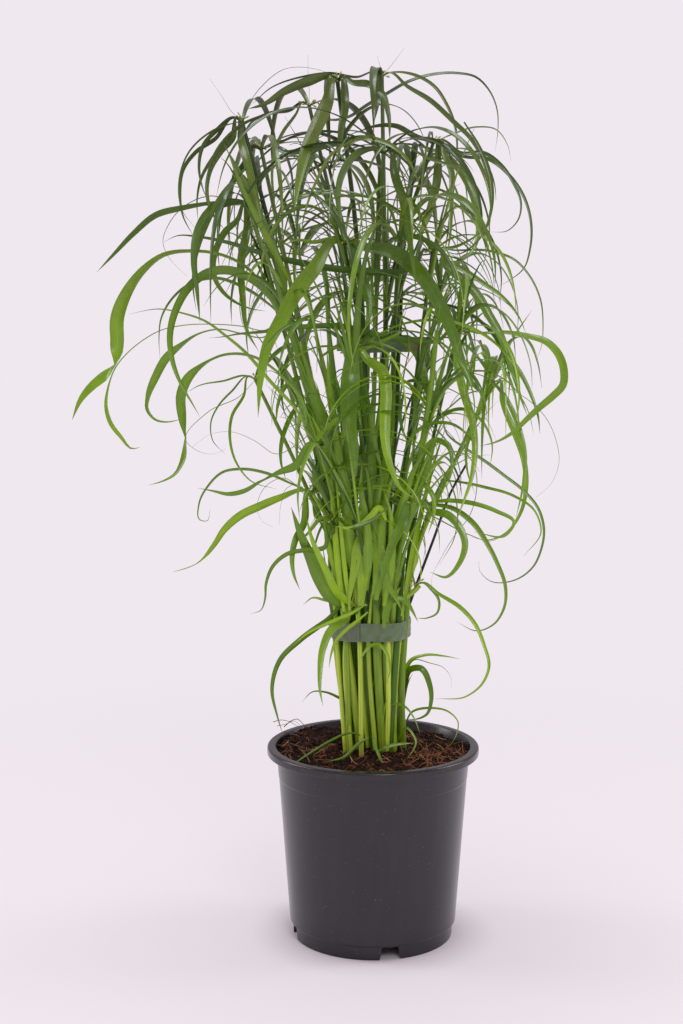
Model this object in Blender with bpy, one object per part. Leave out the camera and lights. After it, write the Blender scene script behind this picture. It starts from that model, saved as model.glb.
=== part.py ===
"""Umbrella sedge in a round nursery pot: tied culms, each ending in a crown of arching bracts."""

import math

import bmesh
import bpy
import numpy as np
from mathutils.bvhtree import BVHTree

MM = 0.001

# The pot's upright axis, placed so that the whole plant stands centred on the origin
POT_X = 44.3 * MM
POT_Y = 2.3 * MM
POT_AXIS = np.array((POT_X, POT_Y, 0.0))

# Pot: a 19 cm thin-walled moulded pot with a hollow rolled rim and a notched foot ring
POT_HEIGHT = 175 * MM
RIM_RADIUS = 95 * MM
MOUTH_RADIUS = 87.5 * MM
RIM_SKIRT = 7 * MM
RIM_ROUND = 1.2 * MM
WALL = 1.5 * MM
BODY_TOP_RADIUS = 86.5 * MM
BODY_FOOT_RADIUS = 75 * MM
FOOT_RADIUS = 71.9 * MM
FOOT_RING = 3 * MM
STEP_HEIGHT = 13.75 * MM
FLOOR_UNDER = 12.2 * MM
POT_SIDES = 32
NOTCH_COUNT = 4
NOTCH_FIRST = -77.4
NOTCH_TOP = 14.5 * MM
NOTCH_FOOT = 19 * MM
NOTCH_HEIGHT = 11.8 * MM
DRAIN_COUNT = 6
DRAIN_RADIUS = 5 * MM
DRAIN_CIRCLE = 48 * MM
DRAIN_SIDES = 6

# Soil: fills the pot, heaped at the back left and round the clump
SOIL_LEVEL = 167.5 * MM
CLUMP_HEAP = 4.5 * MM
CLUMP_HEAP_SPREAD = 48 * MM
BACK_HEAP = 6 * MM
BACK_HEAP_SPREAD = 30 * MM
BACK_HEAP_PLACE = (-56 * MM, 44 * MM)
SOIL_TILT = -1.2 * MM
SOIL_LUMPS = 0.55 * MM
LUMP_LENGTHS = (9 * MM, 11 * MM, 6 * MM)
LUMP_SHIFT = 1.3
SOIL_RINGS = (0.3, 0.6, 0.85)
SOIL_SIDES = 16
POCKET_DEPTH = 12 * MM
CLEAR = 0.3 * MM

# Culms: where the clump stands, where the two tapes hold it, and how thick a culm is
CLUMP_CENTRE = (4 * MM, 6 * MM)
CLUMP_RADII = (27 * MM, 21.5 * MM)
LOWER_TIE_HEIGHT = 283 * MM
LOWER_TIE_CENTRE = (-3 * MM, 0.0)
LOWER_TIE_RADII = (35.6 * MM, 31 * MM)
LOWER_TIE_WIDTH = 16 * MM
LOWER_TIE_FIRST = -125
LOWER_TIE_TURNS = 1.06
LOWER_TIE_GRIP = 12 * MM
UPPER_TIE_HEIGHT = 534 * MM
UPPER_TIE_CENTRE = (0.0, 0.0)
UPPER_TIE_RADII = (31.5 * MM, 27.5 * MM)
UPPER_TIE_WIDTH = 13 * MM
UPPER_TIE_FIRST = -90
UPPER_TIE_TURNS = 1.04
UPPER_TIE_GRIP = 10.4 * MM
UPPER_TIE_TAIL = 38 * MM
TIE_SPREAD = 1.3 * MM
TAPE = 0.6 * MM
TAPE_ROWS = 21
TIE_MARGIN = 5.2 * MM
CULM_FOOT_RADIUS = 3.0 * MM
CULM_TIP_RADIUS = 1.7 * MM
CULM_SIDES = 5
CULM_ROWS = 5
BOUND_CULM_ROWS = 6
CULM_GAP = 0.4 * MM
CULM_TRIES = 120
CULM_SHIFT = 16 * MM
CULM_LEAN = (0.42, 0.42, 0.5)
BOUND_LEAN = 0.25
TURN_STEP = 2.4

# Crowns: the swollen tip that the bracts grow from, and the bracts' section
HUB_PLACES = (0.4 * MM, 2.79 * MM, 6.2 * MM)
HUB_RADII = (2.356 * MM, 3.8 * MM, 1.9 * MM)
SHOULDER_OUT = 6 * MM
SHOULDER_UP = 3 * MM
KEEL_SHARE = 0.11
KEEL_LEAST = 0.45 * MM
BLADE_GAP = 0.35 * MM
BLADE_START = 0.45
BLADE_SWELL = 0.3
BLADE_POINT = 2.5
DEPTH_STEP = 5 * MM
DEPTH_TRIES = 31
BULGES = (0.0, 12 * MM, -12 * MM, 24 * MM, -24 * MM, 36 * MM, -36 * MM)
SPARE_TRIES = 90

# Spare bracts: ranges of length, width, first rise, whole fall, sideways curl and twist (degrees, radians)
SPARE_LENGTHS = (150 * MM, 235 * MM)
SPARE_WIDTHS = (4.5 * MM, 8.5 * MM)
SPARE_RISES = (15, 60)
SPARE_FALLS = (105, 165)
SPARE_CURLS = (-0.5, 0.5)
SPARE_TWISTS = (-70, 70)
SPARE_SPREAD = 1.3
SPARE_TURN = 0.35
SPARE_TURN_MORE = 0.02
SPARE_SHORTER = 0.004
SPARE_BEND = 1.15
SPARE_POINTS = 9

# How finely a path is followed, and how its rows are shared out over its bends
DENSE = 160
FINE = 60
ROW_BEND = 75
EVEN_BEND = 80
TWIST_WEIGHT = 0.7
LEAST_ROWS = 4
MOST_ROWS = 9
CROWN_SHARE = 0.07

# The photograph's view: focal length and centre in pixels, the eye's place and its tilt
FOCAL = 1800.0
PICTURE_CENTRE = (341.5, 512.0)
EYE_BACK = 1575 * MM
EYE_HEIGHT = 606 * MM
EYE_PITCH = 0.139
EYE_YAW = -0.018

# How far the leafy mass reaches at each height, from the pot's axis: left, right and in depth
REACH_HEIGHTS = np.array((200, 305, 360, 413, 466, 520, 573, 618, 662, 706, 741, 768)) * MM
REACH_LEFT = np.array((60, 48, 62, 74, 90, 116, 150, 158, 160, 150, 124, 80)) * MM
REACH_RIGHT = np.array((50, 40, 66, 112, 138, 140, 126, 122, 120, 108, 96, 78)) * MM
REACH_DEPTH = np.array((60, 62, 90, 125, 155, 178, 200, 210, 205, 180, 145, 95)) * MM


def blade(width, tip, turns, *marks):
    """One bract: width and tip depth in mm, turns towards the viewer in degrees, pixels passed."""
    return {"width": width * MM, "tip": tip * MM, "turns": turns, "marks": marks}


def shoot(u, v, depth, bound, spare, **blades):
    """One culm with its crown at pixel (u, v): bound by the upper tape or not, extra bracts, blades."""
    return {"u": u, "v": v, "depth": depth * MM, "bound": bound, "spare": spare, "blades": blades}


# Blades are turned 0 degrees where they show their edge to the viewer and 90 where they show their face
SHOOTS = (
    shoot(382, 80, 12, True, 2,
          right_arch=blade(6, -30, (45, 60), (407, 86), (430, 100), (453, 121), (472, 140),
                           (484, 163), (490, 188), (491, 213), (488, 230)),
          right_inner=blade(5, 45, (30, 60), (396, 72), (415, 75), (434, 86), (447, 105), (455, 126),
                            (457, 142), (455, 174)),
          left_arch=blade(5, 25, (30, 20), (357, 77), (328, 73), (301, 77), (274, 86), (250, 106)),
          front_fall=blade(7, -50, (75, 80), (377, 100), (373, 125))),
    shoot(338, 85, -18, True, 1,
          gloss_fall=blade(13, -120, (75, 80), (328, 100), (319, 121), (306, 150), (299, 179),
                           (294, 211)),
          left_broad=blade(10, -60, (60, 60), (328, 79), (306, 82), (285, 91), (262, 105),
                           (247, 109)),
          dark_fall=blade(8, -62, (70, 80), (345, 102), (341, 130), (338, 165)),
          right_fall=blade(7, -75, (60, 80), (352, 82), (368, 84), (381, 92), (388, 112),
                           (390, 142))),
    shoot(310, 109, 40, True, 2,
          great_arc=blade(5.5, 30, (35, 35), (328, 119), (348, 117), (367, 105), (386, 94),
                          (407, 82), (434, 74), (457, 73), (476, 77), (489, 90), (497, 109),
                          (498, 130), (495, 152)),
          left_arch=blade(5, 70, (40, 50), (290, 110), (270, 113), (253, 121), (240, 140)),
          pale_fall=blade(4, -20, (50, 60), (296, 114), (283, 132), (275, 150), (272, 175),
                          (274, 200), (276, 232))),
    shoot(243, 125, -12, False, 1,
          outer_fall=blade(5, -10, (45, 60), (215, 139), (196, 152), (183, 170), (180, 193),
                           (183, 216), (194, 237)),
          near_fall=blade(5, -40, (60, 45), (217, 130), (203, 146), (199, 166), (203, 189),
                          (208, 201)),
          back_fall=blade(5, 30, (50, 50), (232, 136), (215, 155), (201, 179), (197, 202),
                          (198, 221)),
          dark_fall=blade(6, -60, (50, 55), (234, 137), (221, 152), (210, 171), (207, 193),
                          (212, 212), (226, 232)),
          gloss_fall=blade(8, -75, (80, 80), (241, 136), (247, 161), (255, 193), (262, 225),
                           (268, 250))),
    shoot(262, 153, 25, False, 3,
          across=blade(7, -70, (45, 70), (285, 152), (312, 149), (340, 142), (367, 138),
                       (386, 146), (405, 161), (422, 182)),
          left_fall=blade(7, 20, (60, 60), (247, 160), (235, 178), (226, 195), (221, 214),
                          (220, 230))),
    shoot(432, 147, -18, True, 0,
          gloss_fall=blade(8, -75, (75, 75), (438, 157), (437, 180), (430, 209), (422, 230),
                           (418, 246)),
          near_fall=blade(7, -55, (55, 55), (445, 155), (451, 170), (451, 199), (450, 234),
                          (447, 257)),
          right_loop=blade(5.5, -20, (45, 40, 30), (461, 153), (484, 153), (503, 167), (514, 184),
                           (521, 203), (518, 220), (507, 231), (491, 232)),
          thin_arch=blade(3, 20, (30, 30), (453, 134), (476, 127), (497, 130), (508, 146),
                          (511, 161)),
          dark_hook=blade(7, -66, (60, 70, 50), (445, 158), (457, 167), (468, 184), (476, 207),
                          (478, 232), (472, 251), (459, 258), (449, 253)),
          left_arch=blade(7, 10, (45, 50), (415, 136), (396, 126), (376, 126), (357, 132)),
          outer_right=blade(5, 35, (40, 45), (462, 156), (488, 159), (510, 176), (524, 197),
                            (531, 222), (530, 249), (524, 268), (510, 280), (497, 287))),
    shoot(384, 157, -52, True, 3,
          gloss_fall=blade(8, -110, (80, 80), (394, 172), (403, 200), (408, 230), (413, 262),
                           (416, 290)),
          left_fall=blade(7, -100, (70, 80), (370, 150), (354, 156), (343, 172), (338, 192),
                          (340, 216), (344, 240))),
    shoot(252, 212, -24, False, 1,
          left_reach=blade(7, -40, (55, 55), (232, 202), (213, 203), (182, 208), (156, 215),
                           (133, 234), (114, 254), (97, 272)),
          broad_fall=blade(9, -70, (60, 70), (234, 202), (215, 207), (203, 220), (196, 237),
                           (194, 262), (197, 290), (200, 322)),
          hooked_fall=blade(7, -5, (60, 60, 40), (238, 219), (225, 232), (217, 247), (213, 265),
                            (216, 281), (224, 293), (237, 303), (252, 309), (266, 311)),
          near_fall=blade(8, -60, (70, 75), (247, 228), (241, 262), (243, 300), (247, 330),
                          (259, 352))),
    shoot(345, 247, -56, True, 1,
          great_gloss=blade(14, -150, (80, 85), (333, 252), (314, 269), (298, 289), (282, 318),
                            (267, 347), (261, 375), (258, 417)),
          great_arch=blade(14, -140, (55, 80, 80, 60), (362, 246), (385, 249), (405, 259),
                           (425, 280), (440, 305), (453, 335), (461, 359), (469, 379), (483, 396),
                           (487, 412)),
          small_left=blade(5, -80, (45, 60), (330, 246), (312, 242), (297, 240), (284, 245)),
          dark_fall=blade(9, -110, (70, 80), (354, 262), (364, 281), (369, 303), (365, 330))),
    shoot(399, 246, -54, True, 5),
    shoot(432, 256, -42, False, 0,
          right_reach=blade(6, 10, (55, 55), (445, 259), (464, 270), (483, 283), (499, 294),
                            (512, 307), (521, 321), (526, 334)),
          broad_right=blade(9, -70, (65, 80), (446, 266), (464, 280), (480, 299), (489, 315),
                            (499, 332), (507, 353), (515, 379), (523, 404), (528, 417)),
          far_right=blade(3.5, 30, (40, 40), (452, 250), (490, 251), (515, 260), (529, 275),
                          (540, 298), (543, 325), (541, 348), (536, 361)),
          young=blade(4, -50, (50, 50), (450, 248), (468, 241), (482, 231)),
          long_left=blade(8, -75, (50, 55, 60), (415, 267), (395, 272), (362, 271), (330, 268),
                          (306, 264), (258, 252), (230, 243), (200, 237), (176, 236), (164, 242))),
    shoot(291, 324, -50, False, 0,
          twisted_reach=blade(13, -60, (15, 22, 85, 0, -60), (270, 298), (245, 266), (219, 254),
                              (194, 251), (163, 255), (142, 271), (127, 292), (117, 319),
                              (117, 343), (114, 365), (104, 376), (92, 386), (81, 399),
                              (72, 420)),
          broad_left=blade(10, -90, (50, 60), (272, 299), (250, 278), (226, 270), (207, 273),
                           (190, 286), (177, 307), (170, 334), (173, 363), (182, 386), (192, 403),
                           (200, 417)),
          thin_left=blade(4.5, -30, (40, 50), (270, 305), (245, 288), (215, 278), (194, 282),
                          (171, 300), (161, 319), (159, 338), (160, 359)),
          low_left=blade(5, 5, (25, 30, 60), (266, 330), (242, 326), (213, 324), (184, 325),
                         (161, 330), (140, 342), (127, 353), (115, 368), (108, 388), (106, 407),
                         (110, 422), (121, 437), (133, 449), (140, 447)),
          upright=blade(9, -45, (80, 80), (283, 284), (271, 243), (260, 216), (249, 191),
                        (235, 164), (224, 145)),
          curled=blade(8, 25, (20, 20, 60, 80, 30), (264, 337), (240, 333), (220, 329),
                       (200, 333), (182, 344), (167, 357), (156, 376), (148, 397), (147, 409),
                       (156, 420), (167, 422), (182, 419))),
    shoot(352, 356, -70, False, 3,
          front_fall=blade(17, -120, (80, 85), (351, 372), (349, 399), (349, 423), (354, 450),
                           (355, 480)),
          right_fall=blade(11, -130, (70, 80, 60), (367, 359), (382, 371), (386, 391), (385, 415),
                           (385, 439), (391, 468), (403, 491), (416, 499))),
    shoot(257, 383, -25, False, 2,
          thin_reach=blade(3, -25, (40, 40), (223, 381), (198, 386), (186, 393)),
          thin_fall=blade(3, 10, (40, 40), (232, 391), (219, 405), (211, 422), (213, 441),
                          (225, 454)),
          thin_loop=blade(4, -50, (45, 45), (244, 395), (232, 416), (230, 439), (236, 462),
                          (251, 481), (276, 489))),
    shoot(491, 386, 5, False, 2,
          hooked_fall=blade(6.5, -30, (70, 60, 40), (502, 400), (514, 431), (524, 461), (526, 488),
                            (520, 514), (506, 533), (488, 540), (471, 537)),
          upright=blade(3.5, 35, (50, 50), (502, 363), (512, 340), (532, 310))),
    shoot(456, 338, -35, False, 2,
          right_loop=blade(8, -45, (30, 60, 70, 50), (480, 333), (502, 332), (528, 336),
                           (547, 342), (559, 355), (564, 371), (563, 385), (553, 396), (540, 407),
                           (528, 418), (512, 433), (496, 442), (480, 446)),
          across=blade(8, -100, (50, 50), (441, 339), (409, 340), (385, 337), (362, 331),
                       (339, 326), (317, 326), (290, 328), (260, 332), (238, 334), (221, 337),
                       (209, 338)),
          gloss_fall=blade(8, -75, (70, 75), (457, 360), (463, 390), (472, 420), (475, 450),
                           (471, 480), (463, 503), (456, 522))),
    shoot(430, 417, -52, False, 4,
          dark_loop=blade(4.5, -10, (30, 45, 45), (447, 434), (465, 448), (482, 459), (505, 476),
                          (524, 491), (539, 510), (544, 530), (541, 550), (533, 567), (512, 581),
                          (490, 581), (479, 569), (479, 561))),
    shoot(321, 450, -80, False, 2,
          pale_reach=blade(4.5, -35, (45, 45), (300, 415), (270, 381), (244, 351), (226, 336),
                           (205, 321), (182, 313), (159, 309), (129, 314)),
          long_hook=blade(9, -60, (20, 30, 80, 20, -40), (303, 402), (285, 379), (270, 366),
                          (257, 358), (242, 354), (223, 355), (202, 365), (188, 378), (181, 395),
                          (182, 416), (185, 439), (182, 462), (175, 474), (163, 481), (149, 485)),
          low_left=blade(8, -80, (60, 75, 10, 70, 50), (295, 466), (280, 472), (261, 481),
                         (244, 491), (228, 494), (213, 491), (198, 488))),
    shoot(315, 497, -36, False, 1,
          left_loop=blade(4.5, -30, (35, 45), (290, 483), (266, 473), (241, 469), (223, 472),
                          (208, 486), (199, 504), (200, 520), (207, 521), (210, 509)),
          long_left=blade(9, -45, (40, 50, 70, 50, -60), (299, 495), (279, 498), (260, 506),
                          (241, 515), (224, 530), (214, 545), (200, 561), (189, 567), (173, 572)),
          blunt_fall=blade(8, -70, (50, 60, 75), (304, 523), (295, 541), (292, 560), (294, 575),
                           (300, 590))),
    shoot(332, 524, -46, False, 1,
          left_loop=blade(6, -75, (45, 50), (325, 547), (305, 550), (287, 554), (273, 566),
                          (266, 584), (265, 599), (261, 610), (250, 614)),
          right_small=blade(5, -92, (50, 60), (350, 527), (366, 523), (380, 514), (391, 504)),
          left_small=blade(5, -55, (50, 50), (318, 528), (306, 535), (297, 541))),
    shoot(413, 509, -46, False, 2,
          right_loop=blade(6, -20, (60, 60, 50, 45, 40), (430, 504), (452, 508), (472, 522),
                           (488, 545), (498, 565), (505, 584), (504, 608), (494, 624), (477, 631),
                           (457, 622)),
          right_hook=blade(8, -80, (60, 75), (430, 510), (448, 515), (460, 528), (465, 545),
                           (460, 562), (446, 577), (430, 572)),
          front_fall=blade(9, -98, (70, 75), (404, 520), (392, 545), (383, 575), (378, 600))),
    shoot(413, 588, -18, False, 2,
          right_loop=blade(5.5, -60, (50, 45, 40), (424, 587), (439, 594), (461, 608), (475, 624),
                           (484, 645), (489, 667), (482, 684), (467, 696), (434, 699)),
          small_loop=blade(4, -30, (40, 50), (432, 590), (439, 601), (437, 613), (427, 618),
                           (415, 618))),
    shoot(357, 609, -28, False, 0,
          long_left=blade(7, -50, (45, 60), (343, 612), (326, 621), (300, 640), (280, 660),
                          (272, 690), (277, 715), (283, 735)),
          near_fall=blade(8, -75, (70, 75), (344, 620), (331, 630), (323, 648), (320, 672),
                          (320, 690), (323, 706)),
          small_dark=blade(5, -38, (50, 40), (341, 604), (325, 600), (312, 598), (303, 605)),
          upright=blade(13, -72, (80, 85), (335, 600), (322, 583), (310, 556), (301, 535),
                        (291, 507)),
          inner_upright=blade(8, -48, (70, 75), (337, 592), (325, 568), (313, 542), (306, 516))),
    shoot(330, 172, 98, True, 5),
    shoot(412, 187, 92, True, 5),
    shoot(300, 258, 118, False, 5),
    shoot(362, 305, 126, False, 5),
    shoot(440, 296, 100, False, 5),
)


def from_view(u, v, depth):
    """Point seen at pixel (u, v) and lying depth behind the pot's axis, on a line from the eye."""
    right = (u - PICTURE_CENTRE[0]) / FOCAL
    up = (PICTURE_CENTRE[1] - v) / FOCAL
    ahead = math.cos(EYE_PITCH) + up * math.sin(EYE_PITCH)
    rise = up * math.cos(EYE_PITCH) - math.sin(EYE_PITCH)
    across = right * math.cos(EYE_YAW) + ahead * math.sin(EYE_YAW)
    along = ahead * math.cos(EYE_YAW) - right * math.sin(EYE_YAW)
    reach = (EYE_BACK + depth) / along
    return POT_AXIS + np.array((across * reach, depth, EYE_HEIGHT + rise * reach))


def unit(vectors):
    """Vectors scaled to length one."""
    return vectors / np.linalg.norm(vectors, axis=-1, keepdims=True)


def smooth_path(points, count):
    """Even samples of the curve through the points, made of cubics with slopes along the chords."""
    points = np.asarray(points, float)
    steps = np.linalg.norm(np.diff(points, axis=0), axis=1)
    knots = np.concatenate(([0.0], np.cumsum(steps)))
    slopes = np.gradient(points, knots, axis=0)
    place = np.linspace(0.0, knots[-1], DENSE)
    piece = np.clip(np.searchsorted(knots, place, side="right") - 1, 0, len(steps) - 1)
    span = steps[piece][:, None]
    part = (place[:, None] - knots[piece][:, None]) / span
    curve = (
        (2 * part**3 - 3 * part**2 + 1) * points[piece]
        + (part**3 - 2 * part**2 + part) * span * slopes[piece]
        + (3 * part**2 - 2 * part**3) * points[piece + 1]
        + (part**3 - part**2) * span * slopes[piece + 1]
    )
    run = np.concatenate(([0.0], np.cumsum(np.linalg.norm(np.diff(curve, axis=0), axis=1))))
    even = np.linspace(0.0, run[-1], count)
    return np.stack([np.interp(even, run, curve[:, axis]) for axis in range(3)], axis=1)


def loft(rows, tip=None):
    """Closed solid through rows of points, flat at its start and flat or drawn to a tip at its end."""
    count, around = rows.shape[:2]
    vertices = [tuple(point) for point in rows.reshape(-1, 3)]
    faces = [tuple(reversed(range(around)))]
    for row in range(count - 1):
        for side in range(around):
            ahead = (side + 1) % around
            low, high = row * around, (row + 1) * around
            faces.append((low + side, low + ahead, high + ahead, high + side))
    last = (count - 1) * around
    if tip is None:
        faces.append(tuple(range(last, last + around)))
    else:
        vertices.append(tuple(tip))
        for side in range(around):
            faces.append((last + side, last + (side + 1) % around, len(vertices) - 1))
    return vertices, faces


def tree_of(solid):
    """Search tree of a solid's faces, for finding where two solids meet."""
    return BVHTree.FromPolygons(*solid)


def clear_of(tree, others):
    """True where a solid meets none of the others."""
    return not any(tree.overlap(other) for other in others)


def tube_rows(path, radii, sides):
    """Rings of points round a path, each square to it."""
    ahead = unit(np.gradient(path, axis=0))
    first = unit(np.cross(np.array((0.0, 1.0, 0.0)), ahead))
    second = np.cross(ahead, first)
    angle = np.arange(sides) * math.tau / sides
    ring = first[:, None] * np.cos(angle)[None, :, None] + second[:, None] * np.sin(angle)[None, :, None]
    return path[:, None] + ring * np.asarray(radii)[:, None, None]


def disc_slots(count):
    """Places spread evenly over a disc of radius one, as seeds sit in a flower head."""
    golden = math.pi * (3 - math.sqrt(5))
    turn = np.arange(count) * golden
    out = np.sqrt((np.arange(count) + 0.5) / count)
    return np.stack((out * np.cos(turn), out * np.sin(turn)), axis=1)


def shared_out(leans, count):
    """A disc slot for each lean: the furthest leaning picks first, the free slot furthest its way."""
    slots = disc_slots(count)
    free = list(range(count))
    chosen = {}
    for number in sorted(leans, key=lambda key: -math.hypot(*leans[key])):
        best = max(free, key=lambda index: float(np.dot(slots[index], leans[number])))
        free.remove(best)
        chosen[number] = slots[best]
    return chosen


def on_ellipse(slot, centre, radii, height):
    """Point of the unit disc laid on an ellipse at a height, round the pot's axis."""
    return POT_AXIS + np.array((centre[0] + slot[0] * radii[0], centre[1] + slot[1] * radii[1], height))


def crown_point(plan):
    """Where a shoot's crown sits."""
    return from_view(plan["u"], plan["v"], plan["depth"])


def soil_height(x, y):
    """Height of the soil at a place measured from the pot's axis."""
    clump = CLUMP_HEAP * math.exp(-(x * x + y * y) / CLUMP_HEAP_SPREAD**2)
    away = (x - BACK_HEAP_PLACE[0]) ** 2 + (y - BACK_HEAP_PLACE[1]) ** 2
    heap = BACK_HEAP * math.exp(-away / BACK_HEAP_SPREAD**2)
    tilt = SOIL_TILT * (x + y) / BODY_TOP_RADIUS
    long_x, long_y, short = LUMP_LENGTHS
    lumps = math.sin(x / long_x + LUMP_SHIFT) * math.cos(y / long_y) + math.sin((x - y) / short)
    return SOIL_LEVEL + clump + heap + tilt + SOIL_LUMPS * lumps


def inner_radius(height):
    """Radius of the pot's inner wall at a height."""
    share = (height - STEP_HEIGHT) / (POT_HEIGHT - RIM_SKIRT - STEP_HEIGHT)
    outer = BODY_FOOT_RADIUS + (BODY_TOP_RADIUS - BODY_FOOT_RADIUS) * share
    return outer - WALL


def tape_solid(centre, radii, height, width, first, turns, tail, spread):
    """Tape wound round an ellipse: from an angle, over a number of turns, then straight on for a tail."""
    count = TAPE_ROWS
    angle = math.radians(first) + np.linspace(0.0, turns * math.tau, count)
    grow = TAPE / 2 + spread * np.linspace(0.0, 1.0, count) ** 4
    route = np.stack((centre[0] + (radii[0] + grow) * np.cos(angle),
                      centre[1] + (radii[1] + grow) * np.sin(angle)), axis=1)
    if tail:
        onward = unit(route[-1] - route[-2])
        route = np.vstack((route, route[-1] + onward * tail / 2, route[-1] + onward * tail))
    ahead = unit(np.gradient(route, axis=0))
    out = np.stack((ahead[:, 1], -ahead[:, 0]), axis=1) * TAPE / 2
    rows = []
    for side, rise in ((1, -1), (1, 1), (-1, 1), (-1, -1)):
        level = np.full(len(route), height + rise * width / 2)
        rows.append(np.column_stack((route + side * out, level)))
    return loft(np.stack(rows, axis=1) + POT_AXIS)


def tie_solids():
    """The lower tape, which ends on itself at the front, and the upper one with its free tail."""
    lower = tape_solid(LOWER_TIE_CENTRE, LOWER_TIE_RADII, LOWER_TIE_HEIGHT, LOWER_TIE_WIDTH,
                       LOWER_TIE_FIRST, LOWER_TIE_TURNS, 0.0, TIE_SPREAD)
    upper = tape_solid(UPPER_TIE_CENTRE, UPPER_TIE_RADII, UPPER_TIE_HEIGHT, UPPER_TIE_WIDTH,
                       UPPER_TIE_FIRST, UPPER_TIE_TURNS, UPPER_TIE_TAIL, TIE_SPREAD)
    return {"tie_lower": lower, "tie_upper": upper}


def culm_route(number, slots, upper_slots, shift):
    """Points a culm passes: soil, both edges of the lower tape, the upper tape if bound, the crown."""
    plan = SHOOTS[number]
    tip = crown_point(plan)
    foot = on_ellipse(slots[number], CLUMP_CENTRE, CLUMP_RADII, 0.0)
    foot[2] = soil_height(foot[0] - POT_X, foot[1] - POT_Y) - POCKET_DEPTH + CLEAR
    held = [radius - TIE_MARGIN for radius in LOWER_TIE_RADII]
    route = [foot]
    for height in (LOWER_TIE_HEIGHT - LOWER_TIE_GRIP, LOWER_TIE_HEIGHT + LOWER_TIE_GRIP):
        route.append(on_ellipse(slots[number], LOWER_TIE_CENTRE, held, height))
    start = route[-1]
    if number in upper_slots:
        held = [radius - TIE_MARGIN for radius in UPPER_TIE_RADII]
        low, high = (on_ellipse(upper_slots[number], UPPER_TIE_CENTRE, held, height)
                     for height in (UPPER_TIE_HEIGHT - UPPER_TIE_GRIP, UPPER_TIE_HEIGHT + UPPER_TIE_GRIP))
        route += [start + (low - start) * 0.5 + shift, low, high]
        start = high
    lean = (tip - start) * np.array(CULM_LEAN)
    route += [start + lean + shift, tip]
    return route


def culm_solid(number, slots, upper_slots, shift, gap):
    """A culm as a five-sided tube along its route, thinner towards the crown."""
    rows = BOUND_CULM_ROWS if number in upper_slots else CULM_ROWS
    path = smooth_path(culm_route(number, slots, upper_slots, shift), rows)
    taper = np.linspace(0.0, 1.0, rows)
    radii = CULM_FOOT_RADIUS + (CULM_TIP_RADIUS - CULM_FOOT_RADIUS) * taper + gap
    return loft(tube_rows(path, radii, CULM_SIDES)), path


def hub_solid(path):
    """The swollen tip of a shoot, just past the culm's end and in line with it."""
    ahead = unit(path[-1] - path[-2])
    spine = path[-1] + ahead * np.array(HUB_PLACES)[:, None]
    return loft(tube_rows(spine, HUB_RADII, CULM_SIDES))


def place_culms(ties):
    """All culms with their hubs: each is shifted sideways until it clears those placed before."""
    leans, high_leans = {}, {}
    for number, plan in enumerate(SHOOTS):
        away = (crown_point(plan) - POT_AXIS)[:2]
        leans[number] = away * (BOUND_LEAN if plan["bound"] else 1.0)
        if plan["bound"]:
            high_leans[number] = away
    slots = shared_out(leans, len(leans))
    upper_slots = shared_out(high_leans, len(high_leans))
    obstacles = [tree_of(solid) for solid in ties.values()]
    placed = {}
    for number in sorted(leans, key=lambda key: math.hypot(*leans[key])):
        for attempt in range(CULM_TRIES):
            swing = CULM_SHIFT * math.sqrt(attempt / CULM_TRIES)
            turn = attempt * TURN_STEP
            shift = swing * np.array((math.cos(turn), math.sin(turn), 0.0))
            wide, path = culm_solid(number, slots, upper_slots, shift, CULM_GAP)
            hub = hub_solid(path)
            if clear_of(tree_of(wide), obstacles) and clear_of(tree_of(hub), obstacles):
                break
        solid, path = culm_solid(number, slots, upper_slots, shift, 0.0)
        placed[number] = {"culm": solid, "path": path, "hub": hub, "blades": []}
        obstacles += [tree_of(solid), tree_of(hub)]
    return placed


def sight_along(path):
    """Unit vectors from the eye to each point of a path."""
    eye = POT_AXIS + np.array((0.0, -EYE_BACK, EYE_HEIGHT))
    return unit(path - eye)


def square_to(ahead, side):
    """The part of side that is square to ahead, at length one."""
    return unit(side - ahead * np.sum(side * ahead, axis=-1, keepdims=True))


def angles_between(vectors):
    """Degrees from each unit vector to the next."""
    return np.degrees(np.arccos(np.clip(np.sum(vectors[1:] * vectors[:-1], axis=1), -1.0, 1.0)))


def blade_course(points, side, turns):
    """A blade's path, its across and upward directions and its shares of the length.

    Across starts as side (or the line of sight, where side is None) made square to the path, and
    is turned about the path by the turns. Rows stand closer where the blade bends or twists more.
    """
    path = smooth_path(points, FINE)
    ahead = unit(np.gradient(path, axis=0))
    base = square_to(ahead, sight_along(path) if side is None else np.broadcast_to(side, path.shape))
    place = np.linspace(0.0, 1.0, FINE)
    angle = np.radians(np.interp(place, np.linspace(0.0, 1.0, len(turns)), turns))[:, None]
    across = base * np.cos(angle) + np.cross(ahead, base) * np.sin(angle)
    near = int(FINE * CROWN_SHARE)
    across[:near] = square_to(ahead[:near], np.broadcast_to(across[near], ahead[:near].shape))
    upward = np.cross(ahead, across)
    if upward[: FINE // 2, 2].sum() < 0:
        upward = -upward
    steps = angles_between(ahead) + TWIST_WEIGHT * angles_between(across)
    steps[:near] = 0.0
    steps += EVEN_BEND / FINE
    effort = np.concatenate(([0.0], np.cumsum(steps)))
    count = int(np.clip(round(effort[-1] / ROW_BEND) + 1, LEAST_ROWS, MOST_ROWS))
    rows = np.interp(np.linspace(0.0, effort[-1], count), effort, np.arange(FINE))

    def at_rows(values):
        return np.stack([np.interp(rows, np.arange(FINE), values[:, axis]) for axis in range(3)], axis=1)

    return at_rows(path), unit(at_rows(across)), unit(at_rows(upward)), rows / (FINE - 1)


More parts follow.
